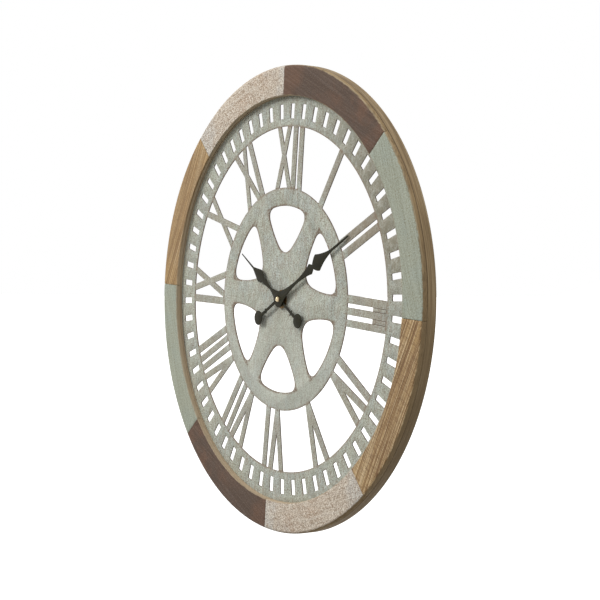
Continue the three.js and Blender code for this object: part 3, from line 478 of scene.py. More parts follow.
class Wire:
    """A node's output, which takes part in sums like a number."""

    __add__ = reckoning("ADD")
    __sub__ = reckoning("SUBTRACT")
    __rsub__ = reckoning("SUBTRACT", swapped=True)
    __mul__ = reckoning("MULTIPLY")
    __truediv__ = reckoning("DIVIDE")
    __rtruediv__ = reckoning("DIVIDE", swapped=True)
    __abs__ = reckoning("ABSOLUTE")
    most = reckoning("MAXIMUM")
    least = reckoning("MINIMUM")

    def __init__(self, graph, socket):
        self.graph = graph
        self.socket = socket

    def ramp(self, low, high, floor, ceiling):
        """Rises smoothly from floor to ceiling as the value goes from low to high."""
        sockets = {"Value": self, "From Min": low, "From Max": high, "To Min": floor, "To Max": ceiling}
        return self.graph.wire("MapRange", sockets, interpolation_type="SMOOTHSTEP")

    def mask(self, low, high, strength=1.0):
        """Rises smoothly from nothing to its strength as the value goes from low to high."""
        return self.ramp(low, high, 0.0, strength)


class Graph:
    """Adds nodes to one tree, joined as they are added."""

    def __init__(self, tree):
        self.tree = tree

    def join(self, value, socket):
        """Leads a wire to a socket, or sets the socket's own value."""
        if isinstance(value, Wire):
            self.tree.links.new(value.socket, socket)
        else:
            socket.default_value = value

    def add(self, kind, sockets=None, **settings):
        node = self.tree.nodes.new(kind if kind.startswith("NodeGroup") else "ShaderNode" + kind)
        place = len(self.tree.nodes)
        node.location = (200 * (place % 10), -300 * (place // 10))
        for name, value in settings.items():
            setattr(node, name, value)
        for key, value in (sockets or {}).items():
            self.join(value, node.inputs[key])
        return node

    def wire(self, kind, sockets=None, output=0, **settings):
        return Wire(self, self.add(kind, sockets, **settings).outputs[output])

    def effect(self, name, vector, *values):
        """Places a shared effect with its own values and gives its outputs in order."""
        node = self.add("Group", node_tree=bpy.data.node_groups[name])
        for value, socket in zip((vector, *values), node.inputs):
            self.join(value, socket)
        return [Wire(self, socket) for socket in node.outputs]

    def math(self, operation, first, second=0.0):
        return self.wire("Math", {0: first, 1: second}, operation=operation)

    def vector(self, x=0.0, y=0.0, z=0.0):
        return self.wire("CombineXYZ", {"X": x, "Y": y, "Z": z})

    def parts(self, vector):
        return [Wire(self, socket) for socket in self.add("SeparateXYZ", {0: vector}).outputs]

    def scaled(self, vector, factors):
        return self.wire("VectorMath", {0: vector, 1: factors}, operation="MULTIPLY")

    def shifted(self, vector, offset):
        return self.wire("VectorMath", {0: vector, 1: offset}, operation="ADD")

    def distance(self, vector):
        return self.wire("VectorMath", {0: vector}, "Value", operation="LENGTH")

    def noise(self, vector, scale=1.0, detail=2.0, roughness=0.5, distortion=0.0):
        names = ("Vector", "Scale", "Detail", "Roughness", "Distortion")
        return self.wire("TexNoise", dict(zip(names, (vector, scale, detail, roughness, distortion))))

    def mix(self, share, first, second, blend="MIX"):
        first, second = (value if isinstance(value, Wire) else (*value, 1.0) for value in (first, second))
        return self.wire("Mix", {0: share, 6: first, 7: second}, 2, data_type="RGBA", blend_type=blend)

    def coats(self, colour, *layers):
        """Lays each layer's colour over what is there, as far as its mask lets it."""
        for share, paint_colour in layers:
            colour = self.mix(share, colour, paint_colour)
        return colour


class Finish(Graph):
    """A material on its own Principled shader. Plain values go straight to the shader's sockets."""

    def __init__(self, name, **plain):
        self.material = bpy.data.materials.new(name)
        self.material.use_nodes = True
        super().__init__(self.material.node_tree)
        self.tree.nodes.clear()
        sockets = {key.replace("_", " ").title().replace("Ior", "IOR"): value for key, value in plain.items()}
        self.shader = self.add("BsdfPrincipled", sockets)
        self.add("OutputMaterial", {"Surface": Wire(self, self.shader.outputs[0])})
        self.place = self.wire("TexCoord", output="Object")

    def feed(self, socket, value):
        self.join(value, self.shader.inputs[socket])

    def done(self, colour, roughness, height, distance, strength):
        """Feeds the shader what varies over the surface, the relief among it, and gives the material."""
        bump = self.wire("Bump", {"Height": height, "Distance": distance, "Strength": strength})
        self.feed("Base Color", colour)
        self.feed("Roughness", roughness)
        self.feed("Normal", bump)
        return self.material


# Effects that several materials share


def wood_fibres(g, place, fibre_length, fibre_width, wander):
    sway = (g.noise(place, 9.0, 1.0) - 0.5) * wander
    crosswise = 1.0 / fibre_width
    factors = g.vector(1.0 / fibre_length, crosswise, crosswise)
    grain = g.scaled(g.shifted(place, g.vector(y=sway, z=sway)), factors)
    band = g.noise(g.scaled(grain, (0.8, 0.13, 0.13)), 1.0, 2.0, 0.5, 0.3)
    pores = g.noise(g.scaled(grain, (9.0, 1.4, 1.4)), 1.0, 1.0)
    return g.noise(grain, 1.0, 3.0, 0.6), band, pores.mask(0.6, 0.72)


def ring_place(g, place):
    """A place as radius, depth and height from the hands' axis at the dial's front."""
    x, y, z = g.parts(g.shifted(place, TO_AXIS))
    return g.distance(g.vector(x, z=z)), y, z


def cut_edges(g, place, radius):
    """How near a place on the dial is to a window's edge, or to an edge of the numeral band."""
    x, _, z = g.parts(g.shifted(place, TO_AXIS))
    turns = abs(g.math("ARCTAN2", x, z) / (TURN / WINDOWS))
    bearing = g.math("PINGPONG", turns, 0.5) * (TURN / WINDOWS)
    across = radius * g.math("SINE", bearing)
    along = radius * g.math("COSINE", bearing)
    bow_radius, bow, outer_edge, tip, tip_end = 0.1595, 0.0042, 0.1205, 0.057, 0.062
    run = WINDOW_CORNER - WINDOW_APEX
    outward = Vector((run.y, -run.x)).normalized()
    centre = (WINDOW_APEX + WINDOW_CORNER) / 2 - outward * (bow_radius - bow)
    from_side = g.distance(g.vector(across - centre.x, z=along - centre.y)) - bow_radius
    window = from_side.most(radius - outer_edge).mask(0.0042, 0.0008) * radius.mask(tip, tip_end)
    dial = bpy.context.scene.clock_dial
    ends = abs(radius - dial.band_inner).least(abs(radius - dial.band_outer))
    return (window.most(ends.mask(0.0035, 0.0006, 0.8)),)


def speckle(g, place, size, cover):
    scale = 1.0 / size
    coarse = g.noise(place, scale, 3.0, 0.65)
    return (coarse - (0.72 - cover * 0.3)).mask(0.0, 0.07), g.noise(place, scale * 4.0, 2.0, 0.6)


def moulded_skin(g, place, grain):
    cloud = g.noise(place, 140.0, 3.0, 0.6)
    height = g.noise(place, 1.0 / grain, 2.0, 0.6)
    return height, cloud.ramp(0.3, 0.7, 0.88, 1.06), cloud.ramp(0.35, 0.65, -0.06, 0.08)


def metal_wear(g, place, streak):
    return g.noise(g.scaled(place, streak), 300.0, 4.0, 0.7), g.noise(place, 220.0, 3.0, 0.6, 0.4)


EVEN = (1.0, 1.0, 1.0)

# Each effect with its inputs beside the place on the surface, and its outputs
EFFECTS = {
    "Wood fibres": (wood_fibres, dict(Length=0.12, Width=0.0012, Wander=0.002), ("Fibre", "Band", "Pore")),
    "Ring place": (ring_place, {}, ("Radius", "Depth", "Height")),
    "Cut edges": (cut_edges, dict(Radius=0.0), ("Near",)),
    "Speckle": (speckle, dict(Size=0.002, Cover=0.3), ("Mask", "Fine")),
    "Moulded skin": (moulded_skin, dict(Grain=0.0004), ("Height", "Shade", "Gloss")),
    "Metal wear": (metal_wear, dict(Streak=EVEN), ("Scratch", "Tarnish")),
}


def build_effects():
    """Makes each effect a node group with named sockets."""
    for name, (build, inputs, outputs) in EFFECTS.items():
        tree = bpy.data.node_groups.new(name, "ShaderNodeTree")
        tree.interface.new_socket("Vector", in_out="INPUT", socket_type="NodeSocketVector")
        for label, default in inputs.items():
            kind = "NodeSocketVector" if isinstance(default, tuple) else "NodeSocketFloat"
            tree.interface.new_socket(label, in_out="INPUT", socket_type=kind).default_value = default
        for label in outputs:
            tree.interface.new_socket(label, in_out="OUTPUT", socket_type="NodeSocketFloat")
        graph = Graph(tree)
        source = graph.add("NodeGroupInput").outputs
        result = graph.add("NodeGroupOutput").inputs
        wires = build(graph, *(Wire(graph, source[label]) for label in ("Vector", *inputs)))
        for label, wire in zip(outputs, wires):
            graph.join(wire, result[label])


# Finishes


def inner_wall(radius):
    """One at the rim's inner wall."""
    inner_radius = bpy.context.scene.clock_rim.inner_radius
    return radius.mask(inner_radius + 0.0014, inner_radius + 0.0006)


def plank_finish(
    name, bearing, base, bare, tones, grain_length=0.09, grain_width=0.0016, speck=0.006, cover=0.3,
    banding=0.86, patches=0.5, ends=0.6, streaks=0.4, lights=0.2, cross=0.0, grit=0.2, specks=0.0, chalk=0.1,
    scuffs=0.2, rough=0.74,
):
    """Wood with its grain along the plank's chord, painted or plain, worn bare along the outer edge."""
    rim = bpy.context.scene.clock_rim
    streak, light, patch, end, flecks = (srgb(*tone) for tone in tones)
    g = Finish(name, metallic=0.0, specular_ior_level=0.3)
    across, up = on_circle(0.94 * RIM_RADIUS, bearing)
    centre = (across, DIAL_FRONT, AXIS_HEIGHT + up)
    mapping = {"Vector": g.place, "Location": centre, "Rotation": (0, bearing, 0)}
    aligned = g.wire("Mapping", mapping, vector_type="TEXTURE")
    fibre, band, pore = g.effect("Wood fibres", aligned, grain_length, grain_width, 0.004)
    speck_mask, fine = g.effect("Speckle", aligned, speck, cover)
    radius, depth, height = g.effect("Ring place", g.place)

    cloud = g.noise(aligned, 26.0, 4.0, 0.6, 0.4)
    towards_end = abs(g.parts(aligned)[0]) + (cloud - 0.5) * 0.12
    weave = g.noise(g.scaled(aligned, (520.0, 90.0, 90.0)), 1.0, 2.0)
    coat = g.coats(
        base,
        (band.mask(0.38, 0.6), shade(base, banding)),
        (cloud.mask(0.46, 0.68, patches), patch),
        (towards_end.mask(0.062, 0.102, ends), end),
        (fibre.mask(0.49, 0.6, streaks), streak),
        (fibre.mask(0.48, 0.38, lights), light),
        (weave.mask(0.5, 0.62, cross), shade(streak, 1.1)),
        (fine.mask(0.5, 0.6, grit), flecks),
        (speck_mask * specks, flecks),
        (fine.mask(0.48, 0.38, chalk), shade(light, 1.08)),
    )

    reach = radius + (g.noise(aligned, 150.0, 4.0, 0.75) - 0.5) * 0.0034
    strip = g.parts(g.place)[0].ramp(0.02, 0.14, 0.0012, rim.worn_width)
    outer = (reach + strip).mask(RIM_RADIUS, RIM_RADIUS + 0.0012)
    inner = reach.mask(rim.inner_radius + 0.0014, rim.inner_radius + 0.0002, 0.8)
    worn = outer.most(inner).most((fibre + fine).mask(1.16, 1.3, scuffs))
    front = depths("rim_plank_1")[0] - rim.rise
    sides = depth.mask(front + 0.0014, front + 0.0026)
    stained = g.coats(
        shade(rim.base, 1.06),
        (fibre.mask(0.36, 0.64), shade(rim.base, 0.72)),
        # Painted shade: the planks' sides darken towards the bottom
        (height.mask(0.16, -0.02, 0.6), shade(rim.base, 0.55)),
        # Painted light: the inner wall's lighter tone
        (inner_wall(radius), rim.inner),
    )
    bare_wood = g.mix(fibre.mask(0.36, 0.64), bare, shade(bare, 0.6))
    # Painted shade: below the middle the rounded edge takes the shaded side colour instead of the pale bare
    # wood
    rind = g.mix(sides.most(height.mask(0.14, 0.02)), bare_wood, stained)
    colour = g.mix(worn.most(sides), coat, rind)
    relief = fine * (0.3 + grit) - fibre - worn * 0.4 - pore * 0.5
    return g.done(colour, fibre.ramp(0.3, 0.7, rough - 0.08, rough + 0.1), relief, 0.0006, 0.8)


def plank_looks():
    """What sets the four kinds of plank apart. The tones are streak, light, patch, end and flecks."""
    rim = bpy.context.scene.clock_rim
    return (
        dict(
            base=rim.dark, bare=rim.bare, banding=0.88, patches=0.75, streaks=0.2, lights=0.12, grit=0.45,
            chalk=0.3,
            tones=((74, 60, 52), (118, 102, 88), (114, 84, 66), (116, 84, 64), (70, 56, 48)),
        ),
        dict(
            base=rim.sage, bare=rim.bare, speck=0.007, banding=0.94, ends=0.4, streaks=0.35, lights=0.3,
            specks=0.25, grit=0.55, chalk=0.5,
            tones=((140, 141, 122), (182, 188, 174), (168, 178, 168), (164, 174, 162), (140, 136, 114)),
        ),
        dict(
            base=rim.natural, bare=srgb(150, 122, 86), grain_length=0.3, grain_width=0.0015, banding=0.84,
            streaks=0.9, lights=0.95, cross=0.5, grit=0.3, scuffs=0.0, rough=0.66,
            tones=((114, 84, 56), (224, 200, 160), (150, 116, 76), (184, 150, 98), (120, 90, 60)),
        ),
        dict(
            base=rim.whitewash, bare=rim.bare, speck=0.0056, cover=0.5, banding=0.92, patches=0.85, ends=0.85,
            streaks=0.3, lights=0.4, cross=0.5, specks=0.4, grit=0.7, chalk=0.85, rough=0.82,
            tones=((166, 144, 124), (234, 226, 212), (198, 170, 144), (212, 212, 206), (150, 128, 108)),
        ),
    )


def base_wood_finish():
    """Bare wood whose streaks follow the ring round, with painted shade towards the bottom and painted light on
    the inner wall.
    """
    rim = bpy.context.scene.clock_rim
    g = Finish("Base wood", metallic=0.0, specular_ior_level=0.35)
    radius, depth, height = g.effect("Ring place", g.place)
    place = g.vector(g.parts(g.place)[0], depth * 40.0, height)

    def streaks(scale, across, detail):
        sockets = {"Vector": place, "W": radius * across, "Scale": scale, "Detail": detail, "Roughness": 0.6}
        return g.wire("TexNoise", sockets, noise_dimensions="4D")

    fine = streaks(16.0, 40.0, 3.0)
    front = depths("rim_base")[0]
    seam = depth.mask(front + 0.001, front + 0.0002)
    colour = g.coats(
        rim.base,
        (streaks(5.0, 14.0, 2.0).mask(0.35, 0.65), shade(rim.base, 0.72)),
        (fine.mask(0.5, 0.62, 0.7), shade(rim.base, 0.5)),
        (fine.mask(0.48, 0.36, 0.6), srgb(190, 168, 132)),
        # Painted shade: the ring's wood darkens towards the bottom
        (height.mask(0.16, -0.16, 0.9), shade(rim.base, 0.5)),
        # Painted light: the inner wall's lighter tone
        (inner_wall(radius), rim.inner),
        (seam * height.ramp(-0.05, 0.16, 0.1, 0.6), srgb(66, 52, 40)),
    )
    return g.done(colour, fine.ramp(0.3, 0.7, 0.62, 0.8), fine * -1.0, 0.0005, 0.7)


def dial_finish():
    """Pale metal sheet, mottled and speckled, with brown stains that gather along the cut edges."""
    dial = bpy.context.scene.clock_dial
    g = Finish("Dial sheet", metallic=0.0, specular_ior_level=0.35)
    radius, _, height = g.effect("Ring place", g.place)
    cloud = g.noise(g.place, 30.0, 5.0, 0.65, 0.3)
    mottle = g.noise(g.scaled(g.place, (1.0, 1.0, 0.7)), 170.0, 4.0, 0.75, 0.4)
    streak = g.noise(g.scaled(g.place, (420.0, 420.0, 60.0)), 1.0, 3.0, 0.6)
    patch = g.noise(g.place, 24.0, 4.0, 0.65)
    ragged = g.noise(g.place, 210.0, 4.0, 0.75).mask(0.36, 0.58)
    _, fine = g.effect("Speckle", g.place, 0.0075, 0.5)
    near = g.effect("Cut edges", g.place, radius)[0]
    bright = srgb(208, 211, 200)

    outside_gear = radius.mask(0.15, 0.158)
    upper_right = g.parts(g.place)[0].mask(0.02, 0.2) * height.mask(-0.02, 0.1) * outside_gear
    stained = (
        patch.mask(0.5, 0.7, 0.14) + outside_gear * radius.mask(0.226, 0.218, 0.26) + upper_right * 0.2
        + near * ragged * 0.8
    )
    colour = g.coats(
        dial.pale,
        (cloud.mask(0.4, 0.62), dial.cool),
        (mottle.mask(0.5, 0.62, 0.65), shade(dial.pale, 0.76)),
        (mottle.mask(0.48, 0.36, 0.7), srgb(206, 209, 198)),
        (streak.mask(0.48, 0.62, 0.5), shade(dial.stain, 0.95)),
        (fine.mask(0.51, 0.61, 0.75), shade(dial.stain, 0.7)),
        (fine.mask(0.47, 0.37, 0.5), bright),
        (height.mask(0.03, -0.1, 0.34) * radius.mask(0.17, 0.15), bright),
        (upper_right * mottle.ramp(0.38, 0.6, 0.3, 0.85), srgb(138, 136, 118)),
        (stained.least(0.85), dial.stain),
        (near.mask(0.6, 1.0, 0.7) * ragged, shade(dial.rust, 1.5)),
    )
    return g.done(colour, mottle.ramp(0.35, 0.65, 0.5, 0.74), fine * 0.6 + mottle, 0.0006, 0.7)


def rust_finish():
    """The cut edges of the dial."""
    dial = bpy.context.scene.clock_dial
    g = Finish("Dial cut edge", metallic=0.0, specular_ior_level=0.3)
    flakes = g.noise(g.place, 420.0, 4.0, 0.7)
    colour = g.coats(
        shade(dial.rust, 0.75),
        (flakes.mask(0.35, 0.65), shade(dial.rust, 1.35)),
        (flakes.mask(0.6, 0.72, 0.6), shade(dial.pale, 0.8)),
    )
    return g.done(colour, flakes.ramp(0.3, 0.7, 0.62, 0.88), flakes, 0.0003, 0.6)


def lacquer_finish():
    g = Finish("Black lacquer", metallic=0.0, specular_ior_level=0.11)
    colour = bpy.context.scene.clock_hands.lacquer
    height = g.effect("Moulded skin", g.place, 0.0012)[0]
    _, tarnish = g.effect("Metal wear", g.place, EVEN)
    tone = g.mix(tarnish.mask(0.4, 0.66), colour, shade(colour, 1.7))
    return g.done(tone, tarnish.ramp(0.35, 0.65, 0.4, 0.56), height, 0.0001, 0.5)


def metal_finish(name, colour, rough, tarnished, streak=EVEN):
    g = Finish(name, metallic=1.0)
    scratch, tarnish = g.effect("Metal wear", g.place, streak)
    tone = g.mix(tarnish.mask(0.42, 0.68, 0.7), colour, tarnished)
    tone = g.mix(scratch.mask(0.55, 0.75, 0.25), tone, shade(colour, 0.55))
    return g.done(tone, scratch.ramp(0.3, 0.7, rough - 0.07, rough + 0.13), scratch, 0.00006, 0.5)


def moulded_finish(name, colour, rough, grain=0.0005, relief=0.00005):
    g = Finish(name, metallic=0.0)
    height, cloud, gloss = g.effect("Moulded skin", g.place, grain)
    return g.done(g.mix(1.0, colour, cloud, "MULTIPLY"), gloss + rough, height, relief, 0.6)


def coil_finish():
    """Fine copper wire, wound round the bobbin, with painted shade in the grooves between the turns."""
    g = Finish("Coil wire", metallic=1.0)
    copper = bpy.context.scene.clock_metal.copper
    sockets = {"Vector": g.place, "Scale": 900.0, "Distortion": 0.0}
    wound = g.wire("TexWave", sockets, 1, wave_type="BANDS", bands_direction="Z", wave_profile="SIN")
    # Painted shade: the copper darkens in the grooves between the turns
    colour = g.mix(wound, shade(copper, 0.35), copper)
    return g.done(colour, wound.ramp(0.0, 1.0, 0.55, 0.28), wound, 0.0001, 1.0)


def board_finish():
    """Green board with copper tracks under its lacquer."""
    g = Finish("Circuit board", metallic=0.0)
    green = bpy.context.scene.clock_movement.board
    x, _, z = g.parts(g.place)
    cells = g.wire("TexBrick", {"Vector": g.place, "Scale": 260.0, "Mortar Size": 0.03}, "Fac")
    tracks = g.wire("TexBrick", {"Vector": g.vector(x, z), "Scale": 300.0, "Mortar Size": 0.035}, "Fac")
    colour = g.coats(green, (tracks, shade(green, 2.1)), (cells * 0.2, shade(green, 0.6)))
    return g.done(colour, g.noise(g.place, 900.0).ramp(0.3, 0.7, 0.3, 0.5), tracks, 0.00004, 0.8)


# Each material by the slot that it is for, or by a name of its own
MATERIALS = {}

# Planks whose grain differs from that of their kind
OWN_GRAIN = {
    5: dict(streaks=0.3, grit=0.6, chalk=0.42),
    7: dict(streaks=0.65, lights=0.5, cross=0.2, patches=0.35),
}
PLANKS = 8


def middle_bearing(number):
    """The bearing of the middle of an even eighth of the rim, the first of which is number 0."""
    return TURN * (number + 0.5) / PLANKS


def build_materials():
    """Every finish of the clock, made once."""
    build_effects()
    metal = bpy.context.scene.clock_metal
    movement = bpy.context.scene.clock_movement
    for number in range(1, PLANKS + 1):
        looks = {**plank_looks()[(number - 1) % 4], **OWN_GRAIN.get(number, {})}
        MATERIALS[f"plank_{number}"] = plank_finish(f"Plank {number}", middle_bearing(number - 1), **looks)
    MATERIALS.update(
        base_wood=base_wood_finish(),
        dial_metal=dial_finish(),
        rust=rust_finish(),
        hand_metal=lacquer_finish(),
        brass=metal_finish("Brass", metal.brass, 0.3, srgb(138, 116, 84)),
        aged_brass=metal_finish("Aged brass", metal.aged_brass, 0.46, srgb(58, 44, 30)),
        steel=metal_finish("Zinc plated steel", metal.steel, 0.34, srgb(140, 140, 138), (6.0, 1.0, 1.0)),
        magnet=metal_finish("Magnet", srgb(96, 98, 102), 0.45, srgb(70, 70, 72)),
        copper=coil_finish(),
        rubber=moulded_finish("Rubber", movement.rubber, 0.78, 0.0008, 0.00012),
        case_plastic=moulded_finish("Moulded case", movement.case, 0.42, 0.0006, 0.00009),
        gear_white=moulded_finish("White moulding", movement.white_gear, 0.38),
        gear_yellow=moulded_finish("Yellow moulding", movement.yellow_gear, 0.38),
        bobbin_plastic=moulded_finish("Bobbin moulding", srgb(226, 218, 196), 0.45),
        chip=moulded_finish("Chip resin", srgb(28, 29, 31), 0.35, 0.0003),
        wrapper=moulded_finish("Cell wrapper", movement.wrapper, 0.25, 0.004, 0.00004),
        board=board_finish(),
    )


# Rim

# The joints between the planks, clockwise from twelve, in degrees
JOINT_BEARINGS = (-2.3, 43.7, 89.1, 135.3, 179.4, 224.5, 268.7, 313.4)
PLANK_SLOTS = ("dark_brown_wood", "sage_wood", "natural_wood", "whitewashed_wood")
SCREW_CIRCLE = 0.2656
KEYHOLE_TRAVEL = 0.007
HANGER_SCREW_OFFSET = 0.017

# What a softened edge takes off, and how far a cutter reaches past what it cuts
EDGE = 0.0003
THROUGH = 0.002


def screw_places():
    return [on_circle(SCREW_CIRCLE, middle_bearing(number)) for number in range(PLANKS)]


class CLOCK_OT_rim_planks(Operator):
    """Spin one blank of the rim, copy it to its eight places and trim each copy at its joints"""

    bl_idname = "clock.rim_planks"
    bl_label = "Rim Planks"

    def execute(self, context):
        rim = context.scene.clock_rim
        # Degrees that the blank takes in, and those of them that lie ahead of the plank
        sweep, spare = 50, 2
        blank = self.blank(rim, sweep)
        following = JOINT_BEARINGS[1:] + JOINT_BEARINGS[:1]
        for number, ends in enumerate(zip(JOINT_BEARINGS, following)):
            start, end = map(math.radians, ends)
            piece = copied(blank, f"plank_{number + 1}_finished", start - math.radians(90 + spare))
            with editing(piece):
                self.trim(start, 1, rim.joint_gap)
                self.trim(end, -1, rim.joint_gap)
                face_outwards()
            bevel(piece, 0.0005, 50)
            settle(piece, f"rim_plank_{number + 1}", PLANK_SLOTS[number % 4], f"plank_{number + 1}")
        bpy.data.objects.remove(blank)
        return {"FINISHED"}

    def blank(self, rim, sweep):
        """A length of rim that starts at three o'clock and is a little longer than a plank."""
        front, back = depths("rim_plank_1")
        front -= rim.rise
        groove = EDGE
        section = [
            (rim.inner_radius, back - groove), (rim.inner_radius, front), (RIM_RADIUS, front),
            (RIM_RADIUS, back - groove), (RIM_RADIUS - groove, back), (rim.inner_radius + groove, back),
        ]
        section = rounded(section, {1: 0.0009, 2: rim.edge_round}, 6)
        return turned("rim_blank", section, sweep, math.radians(sweep))

    def trim(self, bearing, side, gap):
        """Cuts the plank off at a joint and closes its end. Side 1 keeps what lies clockwise."""
        kept = Vector((math.cos(bearing), 0, -math.sin(bearing))) * side
        select_all()
        bpy.ops.mesh.bisect(plane_co=kept * gap / 2, plane_no=kept, use_fill=True, clear_inner=True)


class CLOCK_OT_rim_base(Operator):
    """Spin the ring behind the planks and cut its rebate, pocket and screw holes"""

    bl_idname = "clock.rim_base"
    bl_label = "Rim Base"

    def execute(self, context):
        inner = context.scene.clock_rim.inner_radius
        front, back = depths("rim_base")
        rebate = DIAL_RADIUS + 0.0008
        seat = -0.00015
        groove = EDGE
        section = [
            (inner, front + groove), (inner + groove, front), (RIM_RADIUS - groove, front),
            (RIM_RADIUS, front + groove), (RIM_RADIUS, back), (rebate, back), (rebate, seat), (inner, seat),
        ]
        base = turned("rim_base_wood", rounded(section, {4: 0.0016, 5: 0.0008, 7: 0.0004}, 3), 256)
        x, _, z = middle_of("hanger_plate")
        offset = HANGER_SCREW_OFFSET
        # Room for the wall screw's head and neck, then the pilots of the hanger's screws
        for radius, depth, places, vertices in (
            (0.0057, 0.005, [(x, z - KEYHOLE_TRAVEL / 2)], 32),
            (0.0034, 0.005, [(x, z + KEYHOLE_TRAVEL / 2)], 32),
            (0.00142, 0.006, [(x - offset, z), (x + offset, z)], 16),
        ):
            cut(base, cylinder("pocket", radius, back - depth, back + THROUGH, places, vertices))
        cut(base, cylinder("holes", 0.00132, front - 0.001, 0.001, screw_places(), 16))
        settle(base, "rim_base", "base_wood")
        return {"FINISHED"}


# Dial

WINDOWS = 6
WINDOW_APEX, WINDOW_CORNER = Vector((0, 0.0543)), Vector((0.0448, 0.1122))

# Each stroke of a numeral: where its foot stands on the gear ring, where its head meets the minute
# ring, both across the numeral's centre line, and its width, in millimetres
BAR, VEE, CROSS, TIGHT = 10.3, 10.2, 9.2, 9.0


def upright(foot, head=None, width=BAR):
    return [(foot, foot if head is None else head, width)]


def wedge(apex, left, right, width=VEE):
    return [(apex, left, width), (apex, right, width)]


def crossed(foot_left, head_left, foot_right, head_right):
    return [(foot_right, head_left, CROSS), (foot_left, head_right, CROSS)]


NUMERALS = (
    upright(1.7),
    upright(-8) + upright(6.8),
    upright(-14.5) + upright(0, width=TIGHT) + upright(14.8, width=TIGHT),
    upright(-13.1) + wedge(10, 1.8, 25.4),
    wedge(0.7, -11.1, 16.3),
    wedge(-3.9, -20.3, 5.1) + upright(17.3, 20.3),
    wedge(-14.9, -33.9, -7) + upright(4, 5.1, TIGHT) + upright(18.9, 21.5),
    wedge(-22.9, -42.4, -19.1, TIGHT) + upright(-5.7, width=TIGHT) + upright(7.3, width=TIGHT)
    + upright(19.8, 22),
    upright(-16.7, -19.8) + crossed(-7.5, -4.8, 19.4, 20.6),
    crossed(-11.9, -13.3, 14.5, 11.9),
    crossed(-21.8, -24.2, 4.6, -1.2) + upright(13.3),
    crossed(-25.4, -28.8, 1.2, -4.6) + upright(9.7) + upright(24),
)
THREE_O_CLOCK = TURN / 4


def stroke(foot, head, width, bearing, inner, outer, reach):
    """A bar of sheet that crosses the numeral band."""
    bite = 0.003
    slope = (head - foot) * MM / (outer - inner)
    half = width * MM / 2
    low, high = inner - bite, outer + bite
    corners = []
    for along, side in ((low, -1), (low, 1), (high, 1), (high, -1)):
        corners.append(flat(foot * MM + slope * (along - inner) + side * half, along, -reach))
    return twisted(plate("stroke", corners, 2 * reach), bearing)


def bowed(start, control, end, low=0.0, high=1.0, steps=10):
    """Points of a curve from start to end that leans towards its control point."""
    start, control, end = Vector(start), Vector(control), Vector(end)
    points = []
    for step in range(steps + 1):
        t = low + (high - low) * step / steps
        points.append(start * (1 - t) ** 2 + control * 2 * t * (1 - t) + end * t * t)
    return points


def mirrored(point):
    return Vector((-point.x, point.y))


def window_cutter(bearing):
    """A triangle with bowed sides and rounded corners, drawn as its right half and mirrored."""
    reach = 0.003
    side_bow, outer_bow, apex_round, corner_round = 0.0047, 0.0083, 0.019, 0.014
    apex, corner = WINDOW_APEX, WINDOW_CORNER
    run = corner - apex
    side_control = (apex + corner) / 2 + Vector((run.y, -run.x)).normalized() * 2 * side_bow
    side = bowed(apex, side_control, corner, apex_round / run.length, 1 - corner_round / run.length, 14)
    outer_control = Vector((0, corner.y + 2 * outer_bow))
    outer = bowed(corner, outer_control, mirrored(corner), corner_round / (2 * corner.x), 0.5, 12)
    tip = bowed(mirrored(side[0]), apex, side[0], 0.5, 1, 6)
    right = tip[:-1] + side[:-1] + bowed(side[-1], corner, outer[0])[:-1] + outer
    left = [mirrored(point) for point in reversed(right[1:-1])]
    piece = plate("window", [flat(*point, -reach) for point in right + left], 2 * reach)
    piece.rotation_euler = (0, bearing, 0)
    return piece


class CLOCK_OT_dial(Operator):
    """Cut the sheet dial's numerals, minute slots and six windows and soften their edges"""

    bl_idname = "clock.dial"
    bl_label = "Dial"

    def execute(self, context):
        dial = context.scene.clock_dial
        thickness = depths("dial")[1]
        edge = EDGE
        reach = 0.004
        shaft_hole, screw_hole = 0.00425, 0.0015
        sheet = cylinder("dial_sheet", DIAL_RADIUS, edge, thickness - edge, vertices=256)
        cut(sheet, self.band(dial, reach))
        cut(sheet, joined([window_cutter(TURN * number / WINDOWS) for number in range(WINDOWS)]))
        half_width, half_length = dial.slot_width / 2, dial.slot_length / 2
        slot = block(
            "slot", (-half_width, -reach, dial.slot_radius - half_length),
            (half_width, reach, dial.slot_radius + half_length),
        )
        bevel(slot, 0.0006, 80)
        slots = [copied(slot, "slot", TURN * number / 60) for number in range(60)]
        bpy.data.objects.remove(slot)
        cut(sheet, joined(slots))
        cut(sheet, cylinder("shaft_hole", shaft_hole, -reach, reach))
        cut(sheet, cylinder("screw_holes", screw_hole, -reach, reach, screw_places(), 16))
        # The two shallow grooves that part the bars of III outside their feet
        top, floor, inner, outer = edge - 0.001, edge + 0.0002, 0.191, 0.221
        for low, high in ((-0.0092, -0.0046), (0.0046, 0.0102)):
            cut(sheet, block("groove", (low, top, inner), (high, floor, outer), THREE_O_CLOCK))
        with editing(sheet, "FACE"):
            for facing in (-1, 1):
                choose(sheet, "faces", lambda face: face.normal.y * facing > 0.99)
                bpy.ops.mesh.inset(thickness=edge * 0.3, depth=edge * 0.7)
                bpy.ops.mesh.inset(thickness=edge * 0.7, depth=edge * 0.3)
        paint(sheet, "dial_metal", "rust")
        for face in sheet.data.polygons:
            face.material_index = 0 if abs(face.normal.y) > 0.98 else 1
        settle(sheet, "dial", "dial_metal", smooth=30)
        return {"FINISHED"}

    def band(self, dial, reach):
        """What is cut out between the gear ring and the minute ring, with the strokes left standing."""
        inner, outer = dial.band_inner, dial.band_outer
        band = cylinder("band", outer, -reach, reach, vertices=256)
        cut(band, cylinder("gear_ring", inner, -2 * reach, 2 * reach, vertices=192))
        for number, strokes in enumerate(NUMERALS, 1):
            for foot, head, width in strokes:
                cut(band, stroke(foot, head, width, TURN * number / 12, inner, outer, 1.5 * reach))
        web = ((-0.0145, -1.7 * reach, 0.195), (0.0148, 1.7 * reach, outer + 0.003))
        cut(band, block("web", *web, THREE_O_CLOCK))
        return band


# Hands


